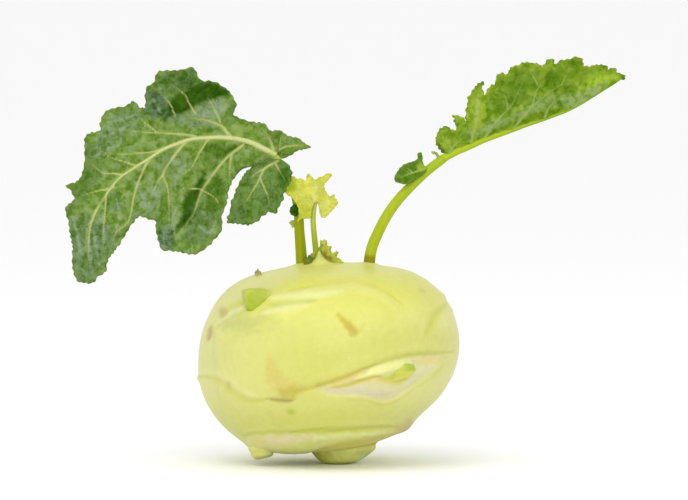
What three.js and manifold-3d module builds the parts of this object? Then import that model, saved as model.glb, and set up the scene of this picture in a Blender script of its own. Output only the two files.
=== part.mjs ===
// Kohlrabi, freshly picked: a flattened round swollen stem on the flat cut of its root, with two
// full-grown leaves, one young leaf, the buds of the crown and the stubs of the leaves taken off.
// Millimetres, +Z up. The origin is the middle of the flat root cut that the kohlrabi stands on,
// +X points along the spread of the two big leaves and +Y to the back.
import * as THREE from 'three';
import { mergeVertices } from 'three/addons/utils/BufferGeometryUtils.js';
import Module from 'manifold-3d';

const wasm = await Module();
wasm.setup();

// Driving dimensions
const BULB_CENTRE = [-3.4, 0, 36];
// Bulb centre to its skin every 15 degrees, from straight down to straight up
const BULB_RADII_LEFT = [31, 33.2, 36.8, 40.4, 43.1, 44.8, 44.8, 44.5, 42.9, 40, 36.2, 34, 33.4];
const BULB_RADII_RIGHT = [31, 31.5, 33, 35.4, 37.4, 41.6, 44.8, 46, 45.3, 41.9, 36.9, 34.4, 33.4];
const ROOT_CUT_RADIUS = 8;            // the flat spot it rests on
const ROOT_NECK_RADIUS = 13.5;        // where the root runs into the bulb
const ROOT_HEIGHT = 12;
const STALK_WIDTH = 3.9;              // leaf stalk at its foot
const YOUNG_STALK_WIDTH = 2.0;
const BLADE_THICKNESS = 1.0;
const GAP = 0.3;                      // kept between pieces that grow out of each other

const vec = (x, y, z) => new THREE.Vector3(x, y, z);
const Y_AXIS = vec(0, 1, 0);
const mix = THREE.MathUtils.lerp;
const smooth = THREE.MathUtils.smoothstep;

// Moves every vertex of a closed geometry to map(x, y, z) and keeps only the positions.
function shaped(geometry, map) {
  geometry.deleteAttribute('normal');
  geometry.deleteAttribute('uv');
  const position = geometry.attributes.position;
  for (let i = 0; i < position.count; i += 1) {
    const p = map(position.getX(i), position.getY(i), position.getZ(i));
    position.setXYZ(i, p.x, p.y, p.z);
  }
  return mergeVertices(geometry, 1e-4);
}

function solid(geometry) {
  return new wasm.Manifold(new wasm.Mesh({
    numProp: 3,
    vertProperties: new Float32Array(geometry.attributes.position.array),
    triVerts: new Uint32Array(geometry.index.array),
  }));
}

function cut(geometry, ...tools) {
  let body = solid(geometry);
  for (const tool of tools) {
    body = body.subtract(solid(tool));
  }
  const mesh = body.getMesh();
  const result = new THREE.BufferGeometry();
  result.setAttribute('position', new THREE.BufferAttribute(mesh.vertProperties, 3));
  result.setIndex(new THREE.BufferAttribute(mesh.triVerts, 1));
  return result;
}

const object = new THREE.Group();

function add(name, geometry, colour, roughness) {
  geometry.computeVertexNormals();
  const material = new THREE.MeshStandardMaterial({ color: colour, roughness, metalness: 0 });
  const mesh = new THREE.Mesh(geometry, material);
  mesh.name = name;
  object.add(mesh);
}

// Bulb: a squashed round body. Its left and right outlines differ, and the radius passes from
// one to the other around the body.
const outline = (radii) => (
  new THREE.CatmullRomCurve3(radii.map((radius) => vec(radius, 0, 0)), false, 'catmullrom')
);
const leftOutline = outline(BULB_RADII_LEFT);
const rightOutline = outline(BULB_RADII_RIGHT);

function bulbRadius(direction) {
  const { x, y, z } = direction.clone().normalize();
  const rise = Math.min(1, Math.max(0, 0.5 + Math.asin(z) / Math.PI));
  const level = Math.hypot(x, y);
  const right = level > 0 ? 0.5 + 0.5 * (x / level) : 0.5;
  return mix(leftOutline.getPoint(rise).x, rightOutline.getPoint(rise).x, right);
}

function bulb(grown) {
  const sphere = new THREE.SphereGeometry(1, 36, 24).rotateX(Math.PI / 2);
  return shaped(sphere, (x, y, z) => {
    const direction = vec(x, y, z);
    return direction.multiplyScalar(bulbRadius(direction) + grown).add(vec(...BULB_CENTRE));
  });
}

// The point of the bulb's front skin at (x, z), moved out from the bulb's centre by lift.
function onFront(x, z, lift) {
  const point = vec(x - BULB_CENTRE[0], 0, z - BULB_CENTRE[2]);
  for (let i = 0; i < 20; i += 1) {
    const radius = bulbRadius(point);
    point.y = -Math.sqrt(Math.max(0, radius ** 2 - point.x ** 2 - point.z ** 2));
  }
  return point.setLength(point.length() + lift).add(vec(...BULB_CENTRE)).toArray();
}

// Root stump: the woody neck of the root, cut square across underneath.
function rootStump() {
  return shaped(new THREE.CylinderGeometry(1, 1, 1, 24, 6).rotateX(Math.PI / 2), (x, y, z) => {
    const up = z + 0.5;
    const radius = mix(ROOT_CUT_RADIUS, ROOT_NECK_RADIUS, Math.sqrt(up));
    return vec(x * radius + 2.2 * up, y * radius, up * ROOT_HEIGHT);
  });
}

// A round stem along a curve, its width given at a share of the way from foot to tip.
function stem(points, width, sides = 10, steps = 18) {
  const path = new THREE.CatmullRomCurve3(points.map((p) => vec(...p)));
  return shaped(new THREE.CylinderGeometry(0.5, 0.5, 1, sides, steps), (x, y, z) => {
    const along = y + 0.5;
    const tangent = path.getTangentAt(along);
    const side = vec(0, 1, 0).cross(tangent).normalize();
    const front = side.clone().cross(tangent);
    const point = path.getPointAt(along);
    return point.addScaledVector(side, x * width(along)).addScaledVector(front, z * width(along));
  });
}

// A leaf blade: a thin sheet between two edges, one on each side of its midrib. The three lines
// are given in the XZ plane, with one point each for every station from base to tip. reach runs
// from -1 at edgeB over 0 at the midrib to 1 at edgeA, and depth(rib, far, reach) is the sheet's
// Y at the distance far from the midrib's point rib.
function blade({ rib, edgeA, edgeB, depth, thick, lengthwise = 30, crosswise = 10 }) {
  const line = (points) => new THREE.CatmullRomCurve3(points.map(([x, z]) => vec(x, 0, z)));
  const [ribLine, lineA, lineB] = [rib, edgeA, edgeB].map(line);
  const middle = (along, reach) => {
    const start = ribLine.getPoint(along);
    const end = (reach > 0 ? lineA : lineB).getPoint(along);
    const point = start.clone().lerp(end, Math.abs(reach));
    point.y = depth(start, point.distanceTo(start), reach);
    return point;
  };
  const step = 0.004;                 // for the slopes of the sheet, as a share of its length
  return shaped(new THREE.BoxGeometry(1, 1, 1, lengthwise, crosswise, 1), (x, y, z) => {
    const along = mix(step, 1 - step, x + 0.5);
    const reach = 2 * y;
    const lengthways = middle(along + step, reach).sub(middle(along - step, reach));
    const crossways = middle(along, reach + step).sub(middle(along, reach - step));
    const normal = lengthways.cross(crossways).normalize();
    return middle(along, reach).addScaledVector(normal, z * thick(along, reach));
  });
}

// An egg-shaped knob, turned about the Y axis.
function knob(centre, radii, turn = 0, around = 14, rows = 10) {
  const angle = THREE.MathUtils.degToRad(turn);
  return shaped(new THREE.SphereGeometry(1, around, rows), (x, y, z) => (
    vec(x * radii[0], y * radii[1], z * radii[2]).applyAxisAngle(Y_AXIS, angle).add(vec(...centre))
  ));
}

const midribThickness = (base) => (along, reach) => (
  BLADE_THICKNESS + base * (1 - 0.75 * along) * Math.exp(-((reach / 0.12) ** 2))
);
const evenThickness = () => BLADE_THICKNESS;

// Bulb and root
const grownBulb = bulb(GAP);
const bulbGreen = 0xdede82;
add('bulb', bulb(0), bulbGreen, 0.42);
add('root_stump', cut(rootStump(), grownBulb), 0xa8ac46, 0.7);

// Stubs: what is left of leaf stalks that were cut or broken off.
const stubGreen = 0xafc337;
add('upper_stalk_stub', cut(knob(onFront(-27.8, 57.4, 0.7), [5.2, 3.2, 4.4], 8), grownBulb), stubGreen, 0.5);
add('lower_stalk_stub', cut(knob([-26.5, -10.5, 6.8], [5.4, 6, 4.6], 16), grownBulb), 0xd2d278, 0.55);
add('dry_stalk_stub', cut(knob([-27.3, -4, 64.8], [1.3, 1.3, 2.6], 0, 10, 8), grownBulb), 0xb8b070, 0.8);
add('torn_stalk_rest', cut(knob(onFront(20.6, 33.8, 0.2), [5.8, 1.6, 2], -16), grownBulb), stubGreen, 0.5);

// Left leaf: the stalk stands up and bends over to the left, where the blade hangs from it.
const leftStalk = (grown) => stem(
  [[-12.1, -2, 64], [-12.4, -2.2, 69], [-12.8, -2.6, 75], [-13.2, -3, 80], [-13.5, -3.2, 86],
    [-14.6, -3.4, 92.5], [-17, -3.6, 99], [-19.8, -3.8, 103.8], [-21.5, -3.9, 106.2]],
  (along) => STALK_WIDTH * mix(1, 0.55, smooth(along, 0.35, 1)) + 2 * grown,
);
add('left_leaf_stalk', cut(leftStalk(0), grownBulb), 0x9ba519, 0.5);

const leafGreen = 0x5a8226;
add('left_leaf_blade', blade({
  rib: [[-22, 106.9], [-25.5, 108.8], [-30, 111], [-35, 112.3], [-40, 112.8], [-45, 112.7],
    [-50, 112.3], [-55, 110.8], [-60, 108.8], [-65, 105.5], [-70, 102.5], [-75, 99], [-79, 94],
    [-83, 88], [-85.5, 78], [-87.2, 65.5]],
  edgeA: [[-22.5, 111.5], [-24, 116], [-30, 118], [-35.5, 121.5], [-39, 130], [-47.5, 134],
    [-57, 136.3], [-64, 131], [-68, 123.8], [-75, 123], [-81, 119], [-86.5, 110.5], [-91, 98],
    [-93.5, 86.5], [-91.5, 73], [-89.8, 64.5]],
  edgeB: [[-22.6, 104.6], [-26.5, 104.4], [-30.3, 103], [-36, 98.5], [-39, 90], [-40.5, 81.5],
    [-46, 75], [-55, 74.2], [-61.5, 78], [-66, 85.3], [-71, 82.5], [-76, 75.5], [-79.3, 70.3],
    [-80.5, 67], [-82.5, 65.3], [-84.6, 64]],
  depth: (rib, far, reach) => {
    const ribDepth = -4 + 0.125 * (rib.x + 22);
    const lean = reach > 0 ? 0.5 * far - 0.004 * far * far : -0.1 * far;
    return ribDepth + lean + 1.6 * Math.sin(rib.x / 6) * reach * reach;
  },
  thick: midribThickness(1.4),
  lengthwise: 32,
  crosswise: 8,
}), leafGreen, 0.6);

add('left_leaf_lower_lobe', blade({
  rib: [[-20, 104.4], [-23, 103], [-26, 100], [-28, 96.5], [-30.5, 92], [-33, 88], [-36, 84.6]],
  edgeA: [[-21.5, 104.8], [-26.5, 103], [-31, 101.3], [-34, 97], [-36, 92], [-37, 88],
    [-37.6, 84.7]],
  edgeB: [[-18.3, 103.6], [-16.6, 101], [-16.8, 97.5], [-19, 92.5], [-21.4, 87.8], [-27, 85],
    [-34.8, 83.8]],
  depth: (rib, far, reach) => -7.6 + 0.06 * (rib.x + 20) + 1.2 * reach * reach * (reach > 0 ? -1 : 0.3),
  thick: evenThickness,
  lengthwise: 14,
  crosswise: 6,
}), 0x467318, 0.6);

add('left_leaf_back_lobe', blade({
  rib: [[-20.2, 109], [-17, 109.3], [-14, 109.6], [-9.9, 109.4]],
  edgeA: [[-20, 106], [-17.5, 106.7], [-14, 108.1], [-9.9, 108.8]],
  edgeB: [[-20.6, 114.4], [-17, 112.5], [-13.5, 112.1], [-9.9, 110]],
  depth: (rib, far, reach) => 0.4 + 0.12 * (rib.x + 20) + 0.35 * far * (reach < 0 ? 1 : -0.2),
  thick: evenThickness,
  lengthwise: 12,
  crosswise: 6,
}), leafGreen, 0.6);

const stalkLeaflet = knob([-15.7, -3.9, 87.7], [1.8, 1.9, 1.9], 0, 12, 8);
add('left_stalk_leaflet', cut(stalkLeaflet, leftStalk(GAP)), 0x3c6410, 0.6);

// Young leaf: a thin stalk in front of the left one, with a small torn pale blade.
const youngStalk = (grown) => stem(
  [[-7.2, -5.6, 65], [-7.4, -5.8, 70], [-7.6, -6, 74], [-8.1, -6.3, 79], [-8.5, -6.6, 84],
    [-8.3, -6.9, 88], [-7.9, -7, 89.6 + grown]],
  () => YOUNG_STALK_WIDTH + 2 * grown,
  10,
  16,
);
add('young_leaf_stalk', cut(youngStalk(0), grownBulb), 0xb4c83c, 0.5);

const youngBlade = blade({
  rib: [[-17.4, 92.5], [-15.6, 91.5], [-12.6, 91], [-9.9, 92], [-7.7, 93.8], [-5.3, 92.8],
    [-3.4, 90.5], [-1, 90.4]],
  edgeA: [[-18, 94.2], [-15.7, 98.4], [-12.6, 98.2], [-10.2, 99.3], [-7.5, 98.5], [-4, 99.4],
    [-3.3, 94], [-1, 92]],
  edgeB: [[-17, 91], [-15.6, 85.2], [-12.6, 84.6], [-10, 85.8], [-7.8, 90.4], [-5.4, 87],
    [-3.6, 86.6], [-1.2, 89]],
  depth: (rib, far, reach) => -7.3 - 0.5 * Math.sin(rib.x * 0.8) * reach,
  thick: () => 0.8 * BLADE_THICKNESS,
  lengthwise: 22,
  crosswise: 6,
});
add('young_leaf_blade', cut(youngBlade, youngStalk(GAP)), 0xd0d45f, 0.55);

// Crown: the growing point, the ragged heart bud beside it and a small side bud.
const tipCone = new THREE.CylinderGeometry(0.12, 1, 1, 14, 6).rotateX(Math.PI / 2);
add('growing_tip', cut(shaped(tipCone, (x, y, z) => (
  vec(-6.1 + 2.5 * x + 0.5 * z, -2 + 2.3 * y, 71 + 10 * z)
)), grownBulb), 0xd8dc96, 0.5);
add('heart_bud', cut(knob([-1.2, -2.2, 70.6], [2.8, 2.5, 5.4], -24), grownBulb), 0xb9b94b, 0.65);
add('side_bud', cut(knob([-10.2, -5, 70.6], [1.2, 1.2, 2], 0, 12, 8), grownBulb), 0x8c8c1e, 0.65);

// Right leaf: the stalk sweeps up and over to the right; the blade is folded up along its midrib.
const rightStalk = stem(
  [[10.6, 1, 64], [10.9, 1, 70], [11.9, 1.2, 75], [14, 1.5, 80], [16.6, 1.8, 85], [20, 2.2, 90],
    [24.5, 2.6, 95], [29.5, 3, 99.8], [33.4, 3.4, 103], [36.4, 3.7, 105.2]],
  (along) => STALK_WIDTH * mix(1, 0.78, along),
);
add('right_leaf_stalk', cut(rightStalk, grownBulb), 0xafc028, 0.45);

const nearEdge = [[36.2, 109], [35.4, 114.5], [39.6, 118.6], [44.4, 124], [49.2, 130], [54, 132],
  [59, 136], [65, 138], [71, 138], [77, 139], [83, 140], [89, 137.2], [94, 136.3], [99, 133.9]];
add('right_leaf_blade', blade({
  rib: [[36.9, 105.7], [39, 106.8], [41.5, 107.9], [44.5, 108.9], [48.5, 110.5], [53, 112.3],
    [58, 114.2], [63, 115.9], [68, 117.6], [74, 119.6], [80, 121.9], [86, 124.8], [92, 128.4],
    [98.5, 132.7]],
  edgeA: nearEdge,
  edgeB: nearEdge.map(([x, z]) => [x, z - 1.2]),
  depth: (rib, far, reach) => {
    const ribDepth = 3.8 + 0.085 * (rib.x - 36.9);
    return ribDepth + far * (reach > 0 ? -0.2 : 0.75) + Math.exp(-((reach / 0.1) ** 2)) * 0.2;
  },
  thick: midribThickness(1.6),
  lengthwise: 28,
  crosswise: 10,
}), 0x78a023, 0.55);

add('right_leaf_lobe', blade({
  rib: [[28.9, 102.2], [26, 101], [23, 99.7], [20, 98.7]],
  edgeA: [[28.7, 100], [26, 98.2], [23.3, 97], [20.3, 97.6]],
  edgeB: [[28.9, 104.8], [26, 104.1], [22.4, 102.7], [19.9, 99.9]],
  depth: (rib, far, reach) => 0.3 + 0.1 * (rib.x - 29) - 0.12 * far * (reach > 0 ? 1 : -0.5),
  thick: evenThickness,
  lengthwise: 12,
  crosswise: 6,
}), 0x3f7a1c, 0.6);

export default object;
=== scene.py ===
import math

import bpy
import numpy as np
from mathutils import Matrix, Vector
from mathutils.geometry import delaunay_2d_cdt


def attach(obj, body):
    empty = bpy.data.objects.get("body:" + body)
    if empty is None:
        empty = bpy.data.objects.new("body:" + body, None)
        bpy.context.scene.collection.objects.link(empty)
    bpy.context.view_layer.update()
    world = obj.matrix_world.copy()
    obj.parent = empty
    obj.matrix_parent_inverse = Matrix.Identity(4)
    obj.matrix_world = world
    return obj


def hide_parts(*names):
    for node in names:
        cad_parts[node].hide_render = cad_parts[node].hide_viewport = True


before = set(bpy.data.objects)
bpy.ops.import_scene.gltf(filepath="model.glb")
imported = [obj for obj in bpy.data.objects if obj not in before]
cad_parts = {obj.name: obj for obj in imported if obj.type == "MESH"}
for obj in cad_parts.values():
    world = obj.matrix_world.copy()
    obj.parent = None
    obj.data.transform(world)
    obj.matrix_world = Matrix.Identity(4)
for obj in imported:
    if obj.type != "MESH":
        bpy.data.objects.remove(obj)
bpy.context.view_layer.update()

# ------------------------------------------------------------------------------------------------
# The table it stands on: a plain white surface in a bright room, with a large soft lamp above and
# to the left, a low wide one in front, and the camera a little above the middle of the bulb.
MM = 0.001
scene = bpy.context.scene
scene.view_settings.view_transform = "Standard"

floor_mesh = bpy.data.meshes.new("table_top")
FLOOR_REACH = 12.0
corners = [(x * FLOOR_REACH, y * FLOOR_REACH, 0.0) for x, y in ((-1, -1), (1, -1), (1, 1), (-1, 1))]
floor_mesh.from_pydata(corners, [], [(0, 1, 2, 3)])
table_top = bpy.data.objects.new("table_top", floor_mesh)
scene.collection.objects.link(table_top)
white = bpy.data.materials.new("white_table")
white.use_nodes = True
white.node_tree.nodes["Principled BSDF"].inputs["Base Color"].default_value = (0.94, 0.94, 0.94, 1)
white.node_tree.nodes["Principled BSDF"].inputs["Roughness"].default_value = 0.9
white.node_tree.nodes["Principled BSDF"].inputs["Specular IOR Level"].default_value = 0.1
floor_mesh.materials.append(white)

room = bpy.data.worlds.new("bright_room")
room.use_nodes = True
room.node_tree.nodes["Background"].inputs["Color"].default_value = (1, 1, 1, 1)
room.node_tree.nodes["Background"].inputs["Strength"].default_value = 1.0
scene.world = room


def soft_lamp(name, size, watts, place, aimed_at):
    """A square lamp, size across, at one place and pointing at another, in metres."""
    light = bpy.data.lights.new(name, "AREA")
    light.size = size
    light.energy = watts
    lamp = bpy.data.objects.new(name, light)
    scene.collection.objects.link(lamp)
    lamp.location = place
    aim = Vector(aimed_at) - lamp.location
    lamp.rotation_euler = aim.to_track_quat("-Z", "Y").to_euler()


soft_lamp("window_lamp", size=0.9, watts=4.0, place=(-0.35, -0.75, 1.05), aimed_at=(0, 0, 0.06))
soft_lamp("low_fill_lamp", size=1.2, watts=9.2, place=(0.15, -1.5, 0.26), aimed_at=(0, 0, 0.02))

VIEW_CENTRE = Vector((2.1, 0, 73.8)) * MM
VIEW_WIDTH = 237.4 * MM
CAMERA_DISTANCE = 2.2
CAMERA_RISE = math.radians(3)
camera_data = bpy.data.cameras.new("camera")
camera_data.sensor_width = 36
camera_data.lens = camera_data.sensor_width * CAMERA_DISTANCE / VIEW_WIDTH
camera_data.clip_end = 100
camera = bpy.data.objects.new("camera", camera_data)
scene.collection.objects.link(camera)
away = Vector((0, -math.cos(CAMERA_RISE), math.sin(CAMERA_RISE)))
camera.location = VIEW_CENTRE + away * CAMERA_DISTANCE
camera.rotation_euler = (-away).to_track_quat("-Z", "Y").to_euler()
scene.camera = camera


# ------------------------------------------------------------------------------------------------
# Bulb: the swollen stem, one solid round of crisp flesh in a waxy pale green skin. Leaf scars run
# round it in a spiral: each has a raised lip over a strip of corky tissue.
# The lamps lighten every paint, so that a paint is this share of the colour that it looks
BRIGHT_ROOM = 0.735


def linear(red, green, blue):
    """A colour as it looks in the bright room, 0 to 255, as the paint that gives it there."""
    share = np.array((red, green, blue)) / 255
    return BRIGHT_ROOM * np.where(share <= 0.04045, share / 12.92, ((share + 0.055) / 1.055) ** 2.4)


def curve_through(points, count, closed=False):
    """count points on a smooth curve through the given ones (Catmull-Rom)."""
    points = np.array(points, float)
    if closed:
        padded = np.vstack([points[-1:], points, points[:2]])
        spans = len(points)
    else:
        padded = np.vstack([2 * points[0] - points[1], points, 2 * points[-1] - points[-2]])
        spans = len(points) - 1
    at = np.linspace(0, spans, count, endpoint=not closed)
    span = np.minimum(at.astype(int), spans - 1)
    t = (at - span)[:, None]
    a, b, c, d = (padded[span + k] for k in range(4))
    return 0.5 * (2 * b + (c - a) * t + (2 * a - 5 * b + 4 * c - d) * t**2 + (3 * b - 3 * c + d - a) * t**3)


def to_line(places, line):
    """Distance of each place from a line of points, how far along the line it is (0 to 1) and
    which side of it: 1 on the left and -1 on the right."""
    starts, steps = line[:-1], np.diff(line, axis=0)
    lengths = np.hypot(steps[:, 0], steps[:, 1])
    before = np.concatenate([[0], np.cumsum(lengths)[:-1]])
    best = np.full(len(places), 1e18)
    along = np.zeros(len(places))
    side = np.ones(len(places))
    x, z = places[:, 0], places[:, 1]
    for (ax, az), (sx, sz), length, gone in zip(starts, steps, lengths, before):
        if length == 0:
            continue
        fx, fz = x - ax, z - az
        share = np.clip((fx * sx + fz * sz) / length**2, 0, 1)
        far = (fx - share * sx) ** 2 + (fz - share * sz) ** 2
        nearer = far < best
        best[nearer] = far[nearer]
        along[nearer] = gone + share[nearer] * length
        side[nearer] = np.sign(sx * fz - sz * fx)[nearer]
    return np.sqrt(best), along / lengths.sum(), side


def inside(places, ring):
    """Whether each place lies inside a closed ring of points."""
    result = np.zeros(len(places), bool)
    for (ax, az), (bx, bz) in zip(ring, np.roll(ring, -1, axis=0)):
        if az == bz:
            continue
        crosses = (az > places[:, 1]) != (bz > places[:, 1])
        result ^= crosses & (places[:, 0] < (bx - ax) * (places[:, 1] - az) / (bz - az) + ax)
    return result


def fade(value, low, high):
    share = np.clip((value - low) / (high - low), 0, 1)
    return share * share * (3 - 2 * share)


def ripple(places, pitch, seed):
    """Smooth unevenness of about -1 to 1 whose hills and hollows are about pitch apart."""
    chance = np.random.default_rng(seed)
    total = np.zeros(len(places))
    for _ in range(7):
        turn = chance.uniform(0, 2 * np.pi)
        step = 2 * np.pi / (pitch * chance.uniform(0.75, 1.5))
        heading = np.array((math.cos(turn), math.sin(turn)))
        total += np.sin(step * (places @ heading) + chance.uniform(0, 2 * np.pi))
    return total / 3


class Skin:
    """The colour and relief of a surface, worked out for each of its points (in millimetres).
    Marks are drawn as seen from an azimuth: 0 is the front and 90 is the right-hand side. A thin
    leaf takes them on both of its sides."""

    def __init__(self, points, colour, thin=False):
        self.points = points
        self.colour = np.tile(colour, (len(points), 1))
        self.lift = np.zeros(len(points))
        self.cork = np.zeros(len(points))
        self.thin = thin

    def near(self, line, reach, azimuth):
        """The points of this side close to a line, as seen from there, and how square on they are."""
        turn = math.radians(azimuth)
        across = self.points[:, 0] * math.cos(turn) + self.points[:, 1] * math.sin(turn)
        towards = self.points[:, 0] * math.sin(turn) - self.points[:, 1] * math.cos(turn)
        nearer = 1 if self.thin else 1 + towards * MM / CAMERA_DISTANCE
        drop = 0 if self.thin else towards * math.tan(CAMERA_RISE)
        seen = np.column_stack([across, self.points[:, 2] - drop])
        middle = np.array((VIEW_CENTRE.x, VIEW_CENTRE.z)) / MM
        places = middle + (seen - middle) * np.reshape(nearer, (-1, 1))
        facing = np.ones(len(places)) if self.thin else fade(towards, -3, 6)
        close = np.all((places > line.min(0) - reach) & (places < line.max(0) + reach), axis=1)
        close &= facing > 0
        return close, places[close], facing[close]

    def tint(self, mask, colour, amount, lift=0.0, cork=0.0):
        self.lift += mask * lift
        self.cork = np.maximum(self.cork, mask * cork)
        if colour is not None:
            share = (mask * amount)[:, None]
            self.colour = self.colour * (1 - share) + colour * share

    def line(self, points, width, colour=None, amount=0.8, lift=0.0, cork=0.0, azimuth=0):
        """A line of marks that fades out at both its ends."""
        line = curve_through(points, 5 * len(points))
        close, places, facing = self.near(line, 3 * width, azimuth)
        far, along, _ = to_line(places, line)
        ends = np.sin(np.pi * np.clip(along, 0.02, 0.98)) ** 0.6
        mask = np.zeros(len(self.points))
        mask[close] = np.exp(-((far / (width * ends)) ** 2)) * facing
        self.tint(mask, colour, amount, lift, cork)

    def area(self, points, soft, colour=None, amount=0.8, lift=0.0, cork=0.0, azimuth=0):
        """A patch with an edge that fades over soft to each side."""
        ring = curve_through(points, 5 * len(points), closed=True)
        close, places, facing = self.near(ring, 2 * soft, azimuth)
        far, _, _ = to_line(places, np.vstack([ring, ring[:1]]))
        signed = np.where(inside(places, ring), far, -far) + 0.3 * soft * ripple(places, 3.2, 5)
        mask = np.zeros(len(self.points))
        mask[close] = fade(signed, -soft, soft) * facing
        self.tint(mask, colour, amount, lift, cork)

    def bump(self, place, size, colour=None, amount=0.8, lift=0.0, cork=0.0):
        far = np.linalg.norm((self.points - np.array(place)) / np.array(size), axis=1)
        self.tint(np.exp(-(far**2)), colour, amount, lift, cork)


class Value:
    """A socket of a node tree. Arithmetic on it adds the Math nodes that work it out."""

    def __init__(self, graph, socket):
        self.graph = graph
        self.socket = socket

    def __add__(self, other):
        return self.graph.math("ADD", self, other)

    def __radd__(self, other):
        return self.graph.math("ADD", other, self)

    def __sub__(self, other):
        return self.graph.math("SUBTRACT", self, other)

    def __rsub__(self, other):
        return self.graph.math("SUBTRACT", other, self)

    def __mul__(self, other):
        return self.graph.math("MULTIPLY", self, other)

    def __rmul__(self, other):
        return self.graph.math("MULTIPLY", other, self)

    def between(self, low, high):
        """0 below low, 1 above high and smooth in between."""
        settings = {"interpolation_type": "SMOOTHSTEP"}
        return self.graph.add("ShaderNodeMapRange", settings, {0: self, 1: low, 2: high, 3: 0.0, 4: 1.0})


class Graph:
    """A new material's node tree, ending in one Principled shader."""

    def __init__(self, name):
        self.material = bpy.data.materials.new(name)
        self.material.use_nodes = True
        self.tree = self.material.node_tree
        self.shader = self.tree.nodes["Principled BSDF"]
        self.output = self.tree.nodes["Material Output"]

    def feed(self, socket, value):
        if isinstance(value, Value):
            self.tree.links.new(value.socket, socket)
        elif isinstance(value, (tuple, list, np.ndarray)):
            socket.default_value = [*value, 1.0][: len(socket.default_value)]
        else:
            socket.default_value = value

    def add(self, kind, settings=None, sockets=None, output=0):
        node = self.tree.nodes.new(kind)
        for key, value in (settings or {}).items():
            setattr(node, key, value)
        for key, value in (sockets or {}).items():
            self.feed(node.inputs[key], value)
        return Value(self, node.outputs[output])

    def math(self, operation, first, second=0.0):
        return self.add("ShaderNodeMath", {"operation": operation}, {0: first, 1: second})

    def mix(self, share, first, second, blend="MIX"):
        settings = {"data_type": "RGBA", "blend_type": blend}
        return self.add("ShaderNodeMix", settings, {0: share, 6: first, 7: second}, output=2)

    def place(self, scale=(1, 1, 1)):
        """The point on the piece, in metres, stretched by scale."""
        where = self.add("ShaderNodeTexCoord", output="Object")
        return self.add("ShaderNodeMapping", {"vector_type": "POINT"}, {"Vector": where, "Scale": scale})

    def noise(self, where, scale, detail=3.0, rough=0.55, twist=0.0):
        sockets = {"Vector": where, "Scale": scale, "Detail": detail, "Roughness": rough, "Distortion": twist}
        return self.add("ShaderNodeTexNoise", {}, sockets)

    def attribute(self, name, output="Fac"):
        return self.add("ShaderNodeAttribute", {"attribute_name": name}, output=output)

    def bump(self, height, distance, strength=1.0, normal=None):
        sockets = {"Height": height, "Distance": distance, "Strength": strength}
        if normal is not None:
            sockets["Normal"] = normal
        return self.add("ShaderNodeBump", {}, sockets)

    def finish(self, **values):
        for key, value in values.items():
            self.feed(self.shader.inputs[key.replace("_", " ")], value)
        return self.material


def mesh_of(name, points, faces, material, colour=None, **values):
    """A smooth-shaded mesh from points in millimetres, with a colour and numbers for each point."""
    mesh = bpy.data.meshes.new(name)
    mesh.from_pydata((np.asarray(points) * MM).tolist(), [], faces)
    mesh.polygons.foreach_set("use_smooth", [True] * len(mesh.polygons))
    if colour is not None:
        layer = mesh.attributes.new("tone", "FLOAT_COLOR", "POINT")
        layer.data.foreach_set("color", np.column_stack([colour, np.ones(len(colour))]).ravel())
    for key, numbers in values.items():
        layer = mesh.attributes.new(key, "FLOAT", "POINT")
        layer.data.foreach_set("value", np.asarray(numbers, float))
    mesh.materials.append(material)
    mesh.update()
    return mesh


def finish_piece(name, mesh, slot, *nodes):
    """Puts a finished mesh in the scene as a piece that stands for its CAD nodes."""
    piece = bpy.data.objects.new(name, mesh)
    scene.collection.objects.link(piece)
    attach(piece, "root")
    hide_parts(*nodes)
    return piece


def globe(columns, rows, crowd=0.0):
    """Directions over a sphere and its faces. crowd draws the columns together at the front."""
    share = np.arange(columns) / columns * 2 * np.pi
    around = share - crowd * np.sin(share) - np.pi / 2
    rise = np.linspace(-np.pi / 2, np.pi / 2, rows + 1)[1:-1]
    level, turn = np.meshgrid(rise, around, indexing="ij")
    ring = np.stack([np.cos(level) * np.cos(turn), np.cos(level) * np.sin(turn), np.sin(level)], -1)
    directions = np.vstack([[(0, 0, -1)], ring.reshape(-1, 3), [(0, 0, 1)]])
    last = len(directions) - 1
    faces = []
    for row in range(rows - 2):
        for column in range(columns):
            a = 1 + row * columns + column
            b = 1 + row * columns + (column + 1) % columns
            faces.append((a, b, b + columns, a + columns))
    top = 1 + (rows - 2) * columns
    for column in range(columns):
        after = (column + 1) % columns
        faces.append((0, 1 + after, 1 + column))
        faces.append((top + column, top + after, last))
    return directions, faces


BULB_CENTRE = np.array((-3.4, 0, 36))
# Centre of the bulb to its skin every 15 degrees, from straight down to straight up
BULB_RADII_LEFT = (31, 33.2, 36.8, 40.4, 43.1, 44.8, 44.8, 44.5, 42.9, 40, 36.2, 34, 33.4)
BULB_RADII_RIGHT = (31, 31.5, 33, 35, 37.2, 41.6, 44.8, 46, 45.3, 41.9, 36.9, 34.4, 33.4)


def bulb_radius(directions):
    """Radius of the smooth bulb in each direction: its left and right outlines, blended."""
    steps = 720
    outlines = [curve_through([(r,) for r in radii], steps + 1)[:, 0]
                for radii in (BULB_RADII_LEFT, BULB_RADII_RIGHT)]
    unit = directions / np.linalg.norm(directions, axis=1)[:, None]
    at = np.arcsin(np.clip(unit[:, 2], -1, 1)) / np.pi * steps + steps / 2
    left, right = (np.interp(at, np.arange(steps + 1), outline) for outline in outlines)
    level = np.hypot(unit[:, 0], unit[:, 1])
    share = 0.5 + 0.5 * unit[:, 0] / np.maximum(level, 1e-9)
    share = np.where(level < 1e-6, 0.5, share)
    return left * (1 - share) + right * share


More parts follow.
